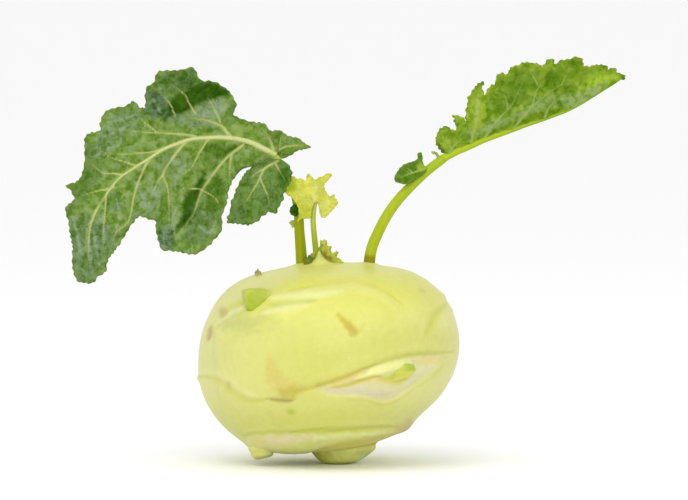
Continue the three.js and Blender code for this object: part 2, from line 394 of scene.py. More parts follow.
def on_front(x, z):
    """The point of the bulb's front skin that is seen at (x, z) from the front, where the camera
    stands a little above the middle and sees what is near it larger."""
    point = np.array([[x, -30.0, z + 2.2 - 0.02 * (z - 73.8)]]) - BULB_CENTRE
    for _ in range(20):
        point[0, 1] = -math.sqrt(max(0, bulb_radius(point)[0] ** 2 - point[0, 0] ** 2 - point[0, 2] ** 2))
    return point[0] + BULB_CENTRE


SKIN_YELLOW = linear(227, 226, 106)
SKIN_GREEN = linear(214, 217, 122)
SKIN_PALE = linear(242, 241, 166)
CREAM = linear(234, 230, 182)
CORK = linear(228, 220, 168)
GOLD = linear(198, 180, 62)
TAN = linear(196, 170, 84)

directions, bulb_faces = globe(430, 226, crowd=0.3)
smooth_bulb = directions * bulb_radius(directions)[:, None] + BULB_CENTRE
skin = Skin(smooth_bulb, SKIN_YELLOW)
x, y, z = smooth_bulb.T

# Greener towards the underside, with slow patches of green and yellow, paler round its widest part, a painted
# highlight high on the front and painted light low on it
low = fade(-z, -34, -6)
patches = 0.5 + 0.5 * np.sin(x / 13 + 1.3 * np.sin(z / 11) + y / 17)
skin.tint(low, SKIN_GREEN, 0.75)
skin.tint(patches, SKIN_GREEN, 0.15)
skin.tint(fade(np.hypot(x + 3.4, y), 36, 45), linear(232, 231, 158), 0.55)
# Painted highlight high on the front of the skin
skin.tint(np.exp(-(((x - 2) / 26) ** 2) - ((z - 56) / 9) ** 2) * fade(-y, 5, 25), linear(242, 241, 122), 0.5)
# Darker and yellower across the middle of the front, and painted light on the lower right of the front and
# low across its foot
skin.bump((-7, -40, 39), (24, 22, 13), linear(216, 217, 88), 0.55)
skin.bump((30, -30, 22), (15, 22, 11), linear(240, 240, 162), 0.45)
skin.bump((-4, -28, 8), (30, 22, 5), linear(244, 244, 158), 0.55)
skin.lift += 0.35 * np.sin(x / 9 + z / 14 + 1) * np.sin(y / 10 - z / 12)

# The crown: the skin rises in a collar round the foot of each stalk and in a pale cone between them
skin.bump((-12.4, -2.1, 69.2), (3.9, 4, 5), None, 0, 0.9)
skin.bump((10.8, 1, 69.2), (3.6, 4, 5), SKIN_PALE, 0.4, 1.0)
skin.bump((-5.6, -3, 69), (5.5, 6, 5), SKIN_PALE, 0.4, 0.7)
skin.bump((-6.2, -6.2, 69), (2.4, 2.2, 7), linear(218, 221, 130), 0.9, 2.3)
skin.bump((-6.15, -6.1, 69), (0.9, 0.9, 7), linear(198, 206, 96), 0.5, 2.0)
skin.tint(np.exp(-(((x + 6.2) / 3) ** 2) - ((y + 6.2) / 6) ** 2) * fade(skin.lift, 0.9, 3.4),
          linear(186, 200, 98), 0.8)
skin.bump((-26.6, -10, 9.4), (4.4, 5, 4.4), linear(234, 230, 156), 0.5, 2.4)
skin.bump((-27, -3, 64), (7, 16, 6), None, 0, -0.8)

# Upper left: the base of the cut stalk, with a ridge running off to each side of it
skin.area([(-44, 52), (-38, 60), (-28, 65), (-16, 66), (-22, 60), (-32, 58), (-38, 52)], 3,
          linear(226, 224, 160), 0.45)
# Painted shadow of the stub on the skin under it, a grey-green patch that is also raised a little
skin.area([(-40, 47), (-34, 51), (-28, 50.5), (-22, 51), (-20, 49.6), (-24, 46.5), (-31, 44.8)], 2.5,
          linear(202, 206, 118), 0.65, 0.3)
skin.line([(-30, 46.8), (-26, 47.4), (-22, 50), (-16, 52.4), (-11, 54)], 1.5, linear(236, 234, 116), 0.5, 0.2)
skin.line([(-24.5, 57.2), (-19, 57.6), (-12, 57.9), (-5, 58.4), (2, 59.6)], 1.5, SKIN_PALE, 0.9, 0.35)
# Painted shade in the groove under the pale ridge
skin.line([(-25, 55.2), (-21, 55), (-16, 55.4), (-11, 56), (-7, 56.6)], 1.1, linear(200, 208, 104), 0.65,
          -0.22)
skin.line([(-27, 52), (-22, 52.8), (-16, 54), (-9, 55)], 1.5, SKIN_PALE, 0.75, 0.2)
skin.line([(-32, 56.5), (-36, 54.4), (-41, 51.5)], 1.2, linear(206, 214, 92), 0.6, 0.2)
skin.line([(-31, 55.4), (-36, 52.2), (-42.5, 48)], 0.9, CREAM, 0.75, 0.25)
skin.line([(-32, 53.4), (-37, 50.2), (-42, 47)], 1.0, linear(204, 208, 110), 0.5, -0.15)
skin.area([(-40.9, 53.6), (-38.7, 53.6), (-38.2, 51.6), (-40.4, 50.4)], 1.0, linear(196, 182, 104), 0.75, 0,
          0.3)
skin.area([(-44.3, 47.4), (-43.4, 47), (-44, 43.6), (-45.2, 42.4), (-45.4, 44.8)], 0.8,
          linear(188, 168, 92), 0.85, 0, 0.3)
skin.line([(-42.4, 47), (-43, 38), (-42.6, 30), (-41, 22)], 1.0, linear(214, 216, 140), 0.5, -0.08)

# Top: an old scar that arches over the front, and the tan nick under it
skin.line([(-17, 59.8), (-8, 61.6), (2, 63), (8, 62.6), (15.5, 60.4), (23, 55)], 1.2, linear(222, 216, 84),
          0.65, -0.26)
skin.line([(-12, 59.4), (0, 60.8), (8, 60.2), (14, 58.4), (20, 54)], 2.4, SKIN_PALE, 0.25, 0.2)
skin.line([(10, 58), (16.5, 54), (19, 48)], 1.6, linear(226, 222, 100), 0.3, -0.06)
skin.area([(-0.2, 51.5), (1.9, 50.6), (4.4, 48.6), (6.8, 46.9), (6.9, 45), (5.4, 43.6), (3.2, 45.8),
           (1.3, 48.6)], 0.8,
          linear(210, 192, 62), 0.9, -0.15, 0.2)
skin.area([(2.8, 47.4), (5.2, 47), (6.4, 45.2), (5.3, 43.9), (3.9, 45.2)], 0.8, linear(202, 184, 92), 0.6)
skin.line([(6.8, 45.4), (8.2, 46.6), (9.2, 49)], 0.9, linear(218, 208, 96), 0.4, 0, 0.1)
skin.bump(on_front(29, 58.4), (1.4, 2.5, 1.2), TAN, 0.35)
skin.line([(38, 55.5), (34.6, 52.6), (32.8, 49.5), (31.4, 46.4), (30, 44)], 1.6, linear(212, 212, 80), 0.75,
          -0.22)
skin.line([(39.5, 53), (36.6, 49.4), (34.8, 45.4)], 2.4, SKIN_PALE, 0.35, 0.15)
skin.line([(29.6, 52), (27.4, 48), (27, 44)], 1.6, linear(222, 222, 120), 0.3, -0.05)
skin.bump((36.4, 0, 58.2), (1.5, 12, 1.5), None, 0, 0.5)
skin.bump((-48.2, 0, 29.4), (3, 8, 1.0), CREAM, 0.3, 0.7)

# Left: the beige wedge, its dark foot, and the scar line that runs off to the left edge
skin.area([(-24.2, 37.6), (-21.5, 34), (-18.2, 30), (-13.5, 27.6), (-10.6, 26), (-15, 23.4), (-19.4, 22.8),
           (-22.6, 25.4), (-25, 29), (-24.8, 34)], 1.4, linear(224, 208, 112), 0.8, -0.12, 0.2)
skin.area([(-20.5, 25.3), (-16.5, 26.4), (-12.4, 26), (-14.6, 23), (-18.6, 22)], 1.1, linear(208, 196, 84),
          0.85, 0, 0.2)
skin.line([(-25, 22.4), (-21, 21.9), (-17, 21.6), (-14.6, 22)], 0.7, linear(178, 164, 90), 0.95, -0.2, 0.4)
skin.line([(-49, 30), (-42.4, 29.3), (-38.1, 26.2), (-33.8, 22.8), (-29.5, 21.3), (-23.5, 22.4)], 1.4,
          linear(218, 216, 96), 0.75, -0.28)
skin.line([(-48.6, 31.6), (-42, 31), (-37, 27.8), (-32.5, 24.4), (-28, 23.2)], 2, SKIN_PALE, 0.3, 0.3)
skin.bump(on_front(-37.4, 26.4), (1.1, 1.4, 1.1), TAN, 0.5, 0, 0.3)
skin.bump(on_front(-38.2, 24.2), (1.1, 1.4, 1.3), linear(206, 214, 90), 0.5)
skin.bump(on_front(-15.9, 17.4), (1.5, 1.6, 1), linear(186, 202, 62), 0.95)
skin.bump(on_front(-19, 11.9), (1.6, 1.6, 1), linear(192, 206, 98), 0.4)

# Front right: the large torn scar, a hollow under a raised lip
UPPER_LIP = [(-14.1, 24.7), (-7.9, 26.8), (-1.8, 28.4), (3.1, 30.2), (8.1, 32.4), (13.6, 34.6), (19.8, 36.5),
             (25.9, 37.6), (32.1, 38.2), (40.1, 38.6)]
LOWER_LIP = [(-12, 23.8), (-3, 23.8), (1.9, 23.4), (8.1, 23.2), (11.8, 22.3), (15.5, 21.3), (19.8, 22.2),
             (22.9, 24.2), (27.8, 27.9), (32.1, 31.6), (35.8, 35), (38, 37)]
skin.area([(-12, 28), (2, 31.6), (14, 36), (26, 39), (38, 40.4), (36, 46), (20, 47), (4, 42), (-10, 35)], 4,
          linear(212, 212, 100), 0.45)
skin.line([(px, pz + 2.2) for px, pz in UPPER_LIP], 2.6, None, 0, 0.55)
skin.area([*UPPER_LIP[1:-1], *LOWER_LIP[::-1][:-1]], 0.5, linear(232, 226, 170), 0.9, -0.8, 0.3)
skin.line([(-5, 24.8), (4.4, 25.3), (11.5, 24.4), (16.4, 24), (20.6, 24.8)], 1.6, linear(226, 216, 178),
          0.85, 0.25)
skin.line([(14.4, 25.6), (16, 24.4), (17.4, 23)], 0.9, linear(216, 214, 176), 0.6, 0.1)
skin.line([(4, 27), (9, 28.6), (13.2, 29), (17.1, 28), (20.6, 27.2)], 0.9, linear(238, 222, 128), 0.8, 0.15)
skin.line([(21, 26.2), (27.3, 30.2), (34.5, 35)], 1.9, linear(232, 230, 178), 0.85, 0.3)
skin.area([(26.5, 36.3), (31, 36.8), (37, 36.8), (35.4, 34.6), (31.5, 34.2), (28, 34.8)], 0.9,
          linear(238, 226, 142), 0.7, 0, 0.2)
skin.line([(16, 35.6), (20.5, 36.2), (24.5, 36.6), (30, 36.8)], 0.8, linear(244, 242, 190), 0.8, 0.2)
# Painted highlight: a bright pale yellow band across the scar, raised a little
skin.area([(5.6, 29.2), (10, 31.8), (14.3, 34), (19, 35.4), (25.6, 35.6), (25, 33.4), (18, 31.6),
           (13, 30.4), (8.5, 29)],
          0.7, linear(250, 250, 162), 0.95, 0.7)
skin.line([(-4, 25.6), (3, 26.9), (8, 28.6), (12, 29.8), (16, 30.3)], 0.8, linear(210, 196, 72), 0.9, -0.3,
          0.2)
skin.area([(13.4, 29.2), (17, 30.2), (19.4, 31.2), (24.3, 33), (26, 32.4), (24.8, 29.8), (21.2, 27.7),
           (17.6, 28.5)],
          0.6, linear(206, 213, 74), 0.9, 0.25)
skin.line([(14, 29.4), (18, 28.3), (21.4, 27.4), (24, 28.8)], 0.6, linear(228, 220, 112), 0.7)
skin.line([(-6, 26.2), (0, 27.8), (6, 29.9), (11, 32.2)], 0.9, linear(236, 220, 128), 0.7, 0, 0.2)
skin.line([(-16, 24.2), (-10, 25.8), *UPPER_LIP[2:6]], 0.9, linear(212, 200, 66), 0.85, -0.25, 0.1)
skin.line(UPPER_LIP[4:], 1.0, linear(208, 212, 74), 0.8, -0.25)
skin.line([(px, pz - 0.9) for px, pz in LOWER_LIP[2:9]], 0.6, linear(214, 206, 104), 0.5, 0.2)
skin.line([(28, 26.4), (33, 31), (37.5, 35.6)], 1.2, linear(214, 218, 100), 0.4, 0.2)

# Low on the front: the lowest leaf base, a band with a corky strip at its left end, and the
# yellowish ring where the bulb meets the root
# Painted light low on the front: the skin is painted lighter towards the bottom, and the band, its strip and
# the ring below are painted lighter than their own colours, to make up for the shade there
skin.tint(fade(-z, -13, -4), linear(240, 240, 148), 0.7)
skin.line([(-32, 11), (-23, 11.6), (-15, 11.8), (-8, 12.8), (5, 13.4), (18, 13.8)], 1.8, None, 0, 0.45)
skin.line([(-33, 9.8), (-23.3, 10.6), (-15.6, 10.8), (-9, 11.8), (-2.8, 12.2)], 0.9, linear(216, 220, 92),
          0.85, -0.35)
skin.line([(-16, 10.6), (-9, 11.4), (-2, 11.6), (5, 11.9), (20.5, 12.6)], 1.1, linear(206, 210, 78), 0.85,
          -0.4)
skin.area([(-30.5, 9), (-20, 9.6), (-6, 10), (-9.5, 8.4), (-16, 6.6), (-23, 5.8), (-29, 6.6)], 0.8,
          linear(246, 236, 180), 0.95, -0.2, 0.2)
skin.area([(-30, 8.6), (-26, 8.8), (-25, 6.6), (-29, 6.4)], 1.0, linear(240, 232, 128), 0.7)
skin.area([(-8, 9.8), (2, 10.4), (18, 11), (12, 9.6), (0, 8.6), (-8, 8)], 0.9, linear(242, 244, 168), 0.8,
          0.2)
skin.line([(-21, 4.8), (-14, 4.6), (-7, 5)], 1.3, linear(226, 234, 118), 0.8, 0.3)
skin.line([(-11, 2.8), (-8.6, 3.7), (-1.8, 5.5), (4.4, 6.7), (10.6, 7.8), (15.8, 9), (20, 10.4)], 1.2,
          linear(216, 206, 58), 0.95, -0.25, 0.1)
skin.line([(-8, 3.4), (0, 5), (8, 6.6), (15, 8.4)], 1.9, linear(232, 226, 92), 0.6)
skin.bump((23.4, -3, 12.6), (3.4, 9, 3), linear(206, 192, 120), 0.85, 0.9, 0.3)
skin.area([(20.4, 12.6), (23, 14.4), (25, 16), (25.4, 13.4), (23.2, 11.4), (20.6, 11)], 1.2,
          linear(208, 192, 112), 0.75)


def leaf_scar(azimuth, centre, half_width, rise, slope):
    """An old scar round the sides and back: a corky lens under a raised lip."""
    across = np.linspace(-1, 1, 7)
    middle = centre + across * slope + rise * 0.25 * (1 - across**2)
    half = 0.5 * rise * (1 - across**2) * (1 + 0.35 * np.sin(3 * across + azimuth))
    middle = middle + 0.16 * rise * np.sin(5 * across + 2 * azimuth)
    upper = list(zip(across * half_width, middle + half))
    lower = list(zip(across * half_width, middle - half))
    skin.line([(u, v + 1.8) for u, v in upper], 2.6, SKIN_PALE, 0.25, 0.5, azimuth=azimuth)
    skin.area([*upper, *lower[::-1][1:-1]], 0.9, CORK, 0.75, -0.6, 0.7, azimuth=azimuth)
    skin.line([(u * 0.7, v + 0.3 * rise) for u, v in lower], 0.25 * rise, SKIN_PALE, 0.6, 0.3,
              azimuth=azimuth)
    skin.line(upper, 0.8, linear(190, 200, 66), 0.75, -0.3, azimuth=azimuth)
    skin.line(lower, 0.6, GOLD, 0.45, 0.2, azimuth=azimuth)


for azimuth, centre, half_width, rise, slope in (
    (113, 50, 12, 2.6, 2.0), (126, 20, 16, 4.6, 3.0), (160, 40, 21, 6.2, 4.0), (190, 15, 15, 4.0, 1.5),
    (214, 54, 12, 3.0, -2.0), (243, 30, 17, 5.2, 3.0), (236, 12, 10, 2.4, 1.0),
):
    leaf_scar(azimuth, centre, half_width, rise, slope)

outward = directions / np.linalg.norm(directions, axis=1)[:, None]
bulb_points = smooth_bulb + outward * skin.lift[:, None]


def waxy_skin(name, roughness=0.42, mottle=0.5, pits=0.00004, through=0.12):
    """Living skin: the piece's own colours, finely mottled, under a thin natural wax."""
    graph = Graph(name)
    where = graph.place()
    tone = graph.attribute("tone", "Color")
    cork = graph.attribute("cork")
    broad = graph.noise(where, 45, 4, 0.6, 0.4)
    fine = graph.noise(where, 420, 3, 0.6)
    grain = graph.noise(graph.place((0.5, 0.5, 1)), 1100, 3, 0.6)
    lighter = graph.mix(1.0, tone, (1.04, 1.03, 1.08), "MULTIPLY")
    darker = graph.mix(1.0, tone, (0.955, 0.97, 0.9), "MULTIPLY")
    mottled = graph.mix(broad.between(0.32, 0.68) * mottle + fine.between(0.35, 0.65) * (1 - mottle),
                        darker, lighter)
    specks = graph.add("ShaderNodeTexVoronoi", {"feature": "F1"}, {"Vector": where, "Scale": 300.0})
    speck = (1 - specks.between(0.1, 0.22)) * fine.between(0.5, 0.62)
    speckled = graph.mix(speck * 0.3, mottled, SKIN_PALE)
    worn = graph.mix(1.0, speckled, (0.86, 0.8, 0.7), "MULTIPLY")
    corky = graph.mix(cork * grain.between(0.42, 0.7) * 0.4, speckled, worn)
    rough = roughness + 0.12 * (broad - 0.5) + 0.25 * cork
    relief = graph.bump(fine * (1 - cork) + grain * (cork * 2 + 0.3), pits)
    graph.feed(graph.shader.inputs["Subsurface Radius"], (0.9, 0.8, 0.25))
    graph.feed(graph.shader.inputs["Subsurface Scale"], 0.003)
    graph.feed(graph.shader.inputs["Specular IOR Level"], 0.3)
    return graph.finish(
        Base_Color=corky, Roughness=rough, Normal=relief, Subsurface_Weight=through, Sheen_Weight=0.08,
        Sheen_Roughness=0.4,
    )


bulb_skin = waxy_skin("bulb_skin")
bulb_mesh = mesh_of("kohlrabi_bulb", bulb_points, bulb_faces, bulb_skin, skin.colour, cork=skin.cork)
finish_piece("kohlrabi_bulb", bulb_mesh, "bulb_skin", "bulb")


# ------------------------------------------------------------------------------------------------
# Root stump: the flat olive-green disc that is left under the bulb where the root was cut off. It
# is solid, woody and worn, and it is what the kohlrabi stands on.
def rough_bark(name, dark, rim, stain=0.55):
    """Dried rind: streaks and blotches of brown over green, matt and uneven."""
    graph = Graph(name)
    where = graph.place((1, 1, 0.6))
    tone = graph.attribute("tone", "Color")
    blotch = graph.noise(where, 150, 4, 0.65, 0.6)
    grain = graph.noise(where, 900, 3, 0.65)
    stained = graph.mix(blotch.between(0.48, 0.72) * stain, tone, dark)
    worn = graph.mix(grain.between(0.55, 0.75) * 0.3, stained, rim)
    relief = graph.bump(grain + blotch * 1.5, 0.00022, 0.8)
    return graph.finish(Base_Color=worn, Roughness=0.58 + 0.25 * grain, Normal=relief)


ROOT_CUT_RADIUS = 3.9
ROOT_GROWTH = 10.8
ROOT_HEIGHT = 12.0
ROOT_CENTRE = -0.6
columns, rows = 120, 44
turns = np.arange(columns) / columns * 2 * np.pi
stump_points = [(ROOT_CENTRE, 0.0, 0.0)]
for ring_radius in (1.2, 2.4, 3.6):
    for turn in turns:
        stump_points.append((ROOT_CENTRE + ring_radius * math.cos(turn), ring_radius * math.sin(turn), 0.0))
for row in range(rows):
    up = row / (rows - 1)
    radius = ROOT_CUT_RADIUS + ROOT_GROWTH * up**0.5
    shift = ROOT_CENTRE + 2.6 * up**0.4
    for turn in turns:
        worn = 0.3 * math.sin(5 * turn + 2) + 0.2 * math.sin(11 * turn + 9 * up)
        rim = 0.45 * math.exp(-((up - 0.42) / 0.1) ** 2) - 0.5 * math.exp(-((up - 0.56) / 0.08) ** 2)
        wide = radius + (worn + rim) * min(1, 4 * up)
        stump_points.append((wide * math.cos(turn) + shift, wide * math.sin(turn), ROOT_HEIGHT * up))
stump_points.append((ROOT_CENTRE + 2.6, 0.0, ROOT_HEIGHT))
stump_points = np.array(stump_points)
levels = rows + 3
last = len(stump_points) - 1
stump_faces = []
for column in range(columns):
    after = (column + 1) % columns
    stump_faces.append((0, 1 + after, 1 + column))
    stump_faces.append((last - columns + column, last - columns + after, last))
    for level in range(levels - 1):
        low = 1 + level * columns
        stump_faces.append((low + column, low + after, low + columns + after, low + columns + column))
# Its paints here, and the colours of its rind, are much lighter than the stump's own olive greens and browns:
# painted light that makes up for the shade under the bulb
stump = Skin(stump_points, linear(238, 242, 132))
x, _, z = stump_points.T
stump.tint(fade(-z, -1.8, -0.3), linear(160, 170, 60), 0.55)
stump.tint(np.exp(-(((z - 6 - 0.1 * x) / 0.8) ** 2)), linear(196, 188, 60), 0.8)
stump.tint(np.exp(-(((z - 4.2 - 0.1 * x) / 0.9) ** 2)), linear(232, 236, 138), 0.6)
stump.tint(fade(x, 4, 10) * fade(-z, -6.5, -2.5), linear(212, 232, 160), 0.75)
stump.tint(fade(-x, 0, 5) * fade(-z, -6, -3), linear(204, 208, 70), 0.8)
root_bark = rough_bark("root_bark", linear(190, 184, 76), linear(236, 240, 160), 0.35)
root_mesh = mesh_of("root_stump_cut", stump_points, stump_faces, root_bark, stump.colour)
finish_piece("root_stump_cut", root_mesh, "root_bark", "root_stump")


# ------------------------------------------------------------------------------------------------
# Stubs on the bulb: what is left of four leaf stalks that were cut or torn off close to the skin.
# They are living flesh grown onto the bulb: a green knob above, a pale lobe low down, a shred of
# green flesh in the large scar, and one that is tiny, dried and brown.
def knob(name, centre, radii, turn_degrees, material, paint, slot, node, square=2.0, rough=0.25, taper=0.0):
    """A lump with its own colours, squarer as square goes above 2, tilted in the front plane."""
    directions, faces = globe(72, 44)
    size = np.abs(directions[:, 0]) ** square + np.abs(directions[:, 1]) ** square
    size = (size + np.abs(directions[:, 2]) ** square) ** (-1 / square)
    local = directions * size[:, None]
    uneven = np.sin(5 * local[:, 0] + 3 * local[:, 2] + 1) * np.sin(4 * local[:, 1] + 5 * local[:, 2])
    local[:, 0] *= 1 + taper * local[:, 2]
    local = local * (1 + 0.06 * uneven * rough / 0.25)[:, None] * np.array(radii)
    turn = math.radians(turn_degrees)
    x = local[:, 0] * math.cos(turn) - local[:, 2] * math.sin(turn)
    z = local[:, 0] * math.sin(turn) + local[:, 2] * math.cos(turn)
    points = np.column_stack([x, local[:, 1], z]) + np.array(centre)
    lump = Skin(points, SKIN_YELLOW)
    paint(lump, local / np.array(radii))
    mesh = mesh_of(name, points, faces, material, lump.colour, cork=lump.cork)
    return finish_piece(name, mesh, slot, node)


def paint_upper_stub(lump, local):
    lump.tint(np.ones(len(local)), linear(178, 192, 48), 1)
    lump.tint(fade(local[:, 2], 0.4, 0.95), linear(194, 204, 80), 0.6)
    lump.tint(fade(-local[:, 2], -0.2, 0.7), linear(164, 190, 38), 0.7)
    lump.tint(fade(-local[:, 0], 0.5, 0.95), linear(206, 208, 104), 0.6)
    lump.tint(fade(local[:, 0], 0.4, 0.98), linear(218, 220, 112), 0.7)


stub_skin = waxy_skin("stub_flesh", 0.45, 0.4)
stub_centre = on_front(-27.6, 55) + (0, 1.7, 0)
knob("cut_stalk_stub", stub_centre, (4.7, 3.2, 4.5), -6, stub_skin, paint_upper_stub, "stub_flesh",
     "upper_stalk_stub", square=3.0, taper=0.4)


def paint_lower_stub(lump, local):
    lump.tint(np.ones(len(local)), linear(236, 236, 150), 1)
    lump.tint(fade(local[:, 2], -0.1, 0.7), linear(244, 238, 156), 0.8)
    lump.tint(fade(-local[:, 2], 0.5, 0.95), linear(186, 182, 66), 0.75)
    lump.tint(np.exp(-(((local[:, 2] + 0.2) / 0.2) ** 2)), linear(214, 212, 100), 0.5)


knob("low_stalk_stub", (-26.2, -9.4, 6.4), (4.6, 5.4, 4.1), 12, waxy_skin("low_stub_skin", 0.45, 0.4),
     paint_lower_stub,
     "bulb_skin", "lower_stalk_stub", square=2.2)


def paint_dry_stub(lump, local):
    lump.tint(np.ones(len(local)), linear(196, 186, 116), 1)
    lump.tint(fade(local[:, 2], 0.2, 0.9), linear(146, 150, 72), 0.8)
    lump.cork += 0.8


dry_bark = rough_bark("dry_stub", linear(132, 120, 64), linear(206, 198, 138))
knob("dried_stalk_stub", (-27.3, -4, 64.8), (1.1, 1.1, 2.3), 12, dry_bark, paint_dry_stub, "dry_stub",
     "dry_stalk_stub", square=2.5, rough=1)


def paint_torn_rest(lump, local):
    lump.tint(np.ones(len(local)), linear(206, 212, 82), 1)
    lump.tint(fade(local[:, 0], 0.35, 0.8) * fade(local[:, 2], -0.5, 0.1), linear(172, 190, 52), 0.85)
    # Painted highlight on its top left, the same as the one across the scar
    lump.tint(fade(local[:, 2], 0.35, 0.8) * fade(-local[:, 0], -0.7, -0.3), linear(240, 240, 136), 0.75)
    lump.tint(fade(-local[:, 0], -0.3, 0.1), linear(206, 213, 74), 0.85)
    lump.tint(fade(-local[:, 2], 0.2, 0.8), linear(226, 220, 110), 0.8)


knob("torn_scar_flesh", on_front(19.4, 30.6) + (0, 1.75, 0), (7, 1.25, 2.7), 17, stub_skin, paint_torn_rest,
     "stub_flesh", "torn_stalk_rest", square=2.2)


# ------------------------------------------------------------------------------------------------
# Left leaf: an old leaf on a stalk that stands up from the crown. Its blade is thin and waxy, hangs
# from a pale midrib that arches over, and has smaller lobes of its own at the base of the blade.
class Growth:
    """A new geometry node tree that starts from a line of points and ends in a solid."""

    feed = Graph.feed
    add = Graph.add
    math = Graph.math

    def __init__(self, name, **sizes):
        self.tree = bpy.data.node_groups.new(name, "GeometryNodeTree")
        self.tree.is_modifier = True
        self.tree.interface.new_socket("Line", in_out="INPUT", socket_type="NodeSocketGeometry")
        for key, value in sizes.items():
            socket = self.tree.interface.new_socket(key, in_out="INPUT", socket_type="NodeSocketFloat")
            socket.default_value = value
        self.tree.interface.new_socket("Material", in_out="INPUT", socket_type="NodeSocketMaterial")
        self.tree.interface.new_socket("Solid", in_out="OUTPUT", socket_type="NodeSocketGeometry")
        self.inputs = self.tree.nodes.new("NodeGroupInput")
        self.outputs = self.tree.nodes.new("NodeGroupOutput")

    def input(self, name):
        return Value(self, self.inputs.outputs[name])

    def end(self, solid):
        real = self.add("GeometryNodeRealizeInstances", {}, {"Geometry": solid})
        sockets = {"Geometry": real, "Material": self.input("Material")}
        finished = self.add("GeometryNodeSetMaterial", {}, sockets)
        self.feed(self.outputs.inputs["Solid"], finished)
        return self.tree


def ribbed_stalk_tree():
    """A round stalk along a line, Width across at its foot and Tip times that at its end, with
    Ribs low ridges along it, Rib Height of its radius high. Flare widens the foot."""
    growth = Growth("ribbed_stalk", Width=0.004, Tip=0.6, Flare=0.1, Ribs=5.0, Rib_Height=0.08)
    line = growth.add("GeometryNodeMeshToCurve", {}, {"Mesh": growth.input("Line")})
    along = growth.add("GeometryNodeSplineParameter")
    foot = growth.math("EXPONENT", along * -14)
    narrowing = 1 + (growth.input("Tip") - 1) * along + growth.input("Flare") * foot
    radius = growth.input("Width") * 0.5 * narrowing
    sockets = {"Geometry": line, "Name": "along", "Value": along}
    marked = growth.add("GeometryNodeStoreNamedAttribute", {"data_type": "FLOAT", "domain": "POINT"}, sockets)
    circle = growth.add("GeometryNodeCurvePrimitiveCircle", {}, {"Resolution": 28, "Radius": 1.0})
    spot = growth.add("GeometryNodeInputPosition")
    parts = growth.add("ShaderNodeSeparateXYZ", {}, {"Vector": spot})
    down = Value(growth, parts.socket.node.outputs[1])
    turn = growth.math("ARCTAN2", down, parts)
    rib = growth.math("COSINE", turn * growth.input("Ribs")) * growth.input("Rib_Height")
    offset = growth.add("ShaderNodeVectorMath", {"operation": "SCALE"}, {"Vector": spot, "Scale": rib})
    profile = growth.add("GeometryNodeSetPosition", {}, {"Geometry": circle, "Offset": offset})
    sockets = {"Curve": marked, "Profile Curve": profile, "Scale": radius, "Fill Caps": True}
    skin = growth.add("GeometryNodeCurveToMesh", {}, sockets)
    return growth.end(growth.add("GeometryNodeSetShadeSmooth", {}, {"Geometry": skin}))


def grow(name, tree, line, material, **sizes):
    """The plain mesh that a tree makes along a line of points given in millimetres."""
    points = [tuple(point) for point in (np.asarray(line) * MM).tolist()]
    path = bpy.data.meshes.new(name + "_line")
    path.from_pydata(points, [(k, k + 1) for k in range(len(points) - 1)], [])
    maker = bpy.data.objects.new(name + "_line", path)
    scene.collection.objects.link(maker)
    modifier = maker.modifiers.new("growth", "NODES")
    modifier.node_group = tree
    for item in tree.interface.items_tree:
        if item.name in sizes:
            modifier[item.identifier] = sizes[item.name]
        if item.name == "Material":
            modifier[item.identifier] = material
    evaluated = maker.evaluated_get(bpy.context.evaluated_depsgraph_get())
    mesh = bpy.data.meshes.new_from_object(evaluated)
    maker.modifiers.remove(modifier)
    bpy.data.objects.remove(maker)
    bpy.data.meshes.remove(path)
    return mesh


def stalk_skin(name, colour, edge, foot, foot_ends, tip_colour, tip_starts=0.35):
    """Smooth waxy stalk: its own green, darker at the foot, with fine streaks along it."""
    graph = Graph(name)
    where = graph.place()
    along = graph.attribute("along")
    streaks = graph.noise(graph.place((1, 1, 0.12)), 700, 3, 0.6)
    blotch = graph.noise(where, 160, 3, 0.6)
    green = graph.mix(streaks.between(0.4, 0.7) * 0.5, colour, edge)
    green = graph.mix(blotch.between(0.5, 0.75) * 0.25, green, edge)
    green = graph.mix(along.between(tip_starts, 0.95), green, tip_colour)
    ring = 1 - (along + 0.02 * (blotch - 0.5)).between(foot_ends - 0.03, foot_ends)
    dark = graph.mix(ring * 0.85, green, foot)
    relief = graph.bump(streaks, 0.00012, 0.7)
    graph.feed(graph.shader.inputs["Subsurface Radius"], (0.8, 0.9, 0.2))
    graph.feed(graph.shader.inputs["Subsurface Scale"], 0.0015)
    graph.feed(graph.shader.inputs["Specular IOR Level"], 0.08)
    return graph.finish(Base_Color=dark, Roughness=0.4 + 0.2 * streaks, Normal=relief, Subsurface_Weight=0.12)


def joined(name, *meshes):
    """One mesh out of several, with their materials and point values kept."""
    pieces = []
    for mesh in meshes:
        piece = bpy.data.objects.new(mesh.name, mesh)
        scene.collection.objects.link(piece)
        pieces.append(piece)
    with bpy.context.temp_override(active_object=pieces[0], selected_editable_objects=pieces):
        bpy.ops.object.join()
    whole = pieces[0].data
    whole.name = name
    bpy.data.objects.remove(pieces[0])
    return whole


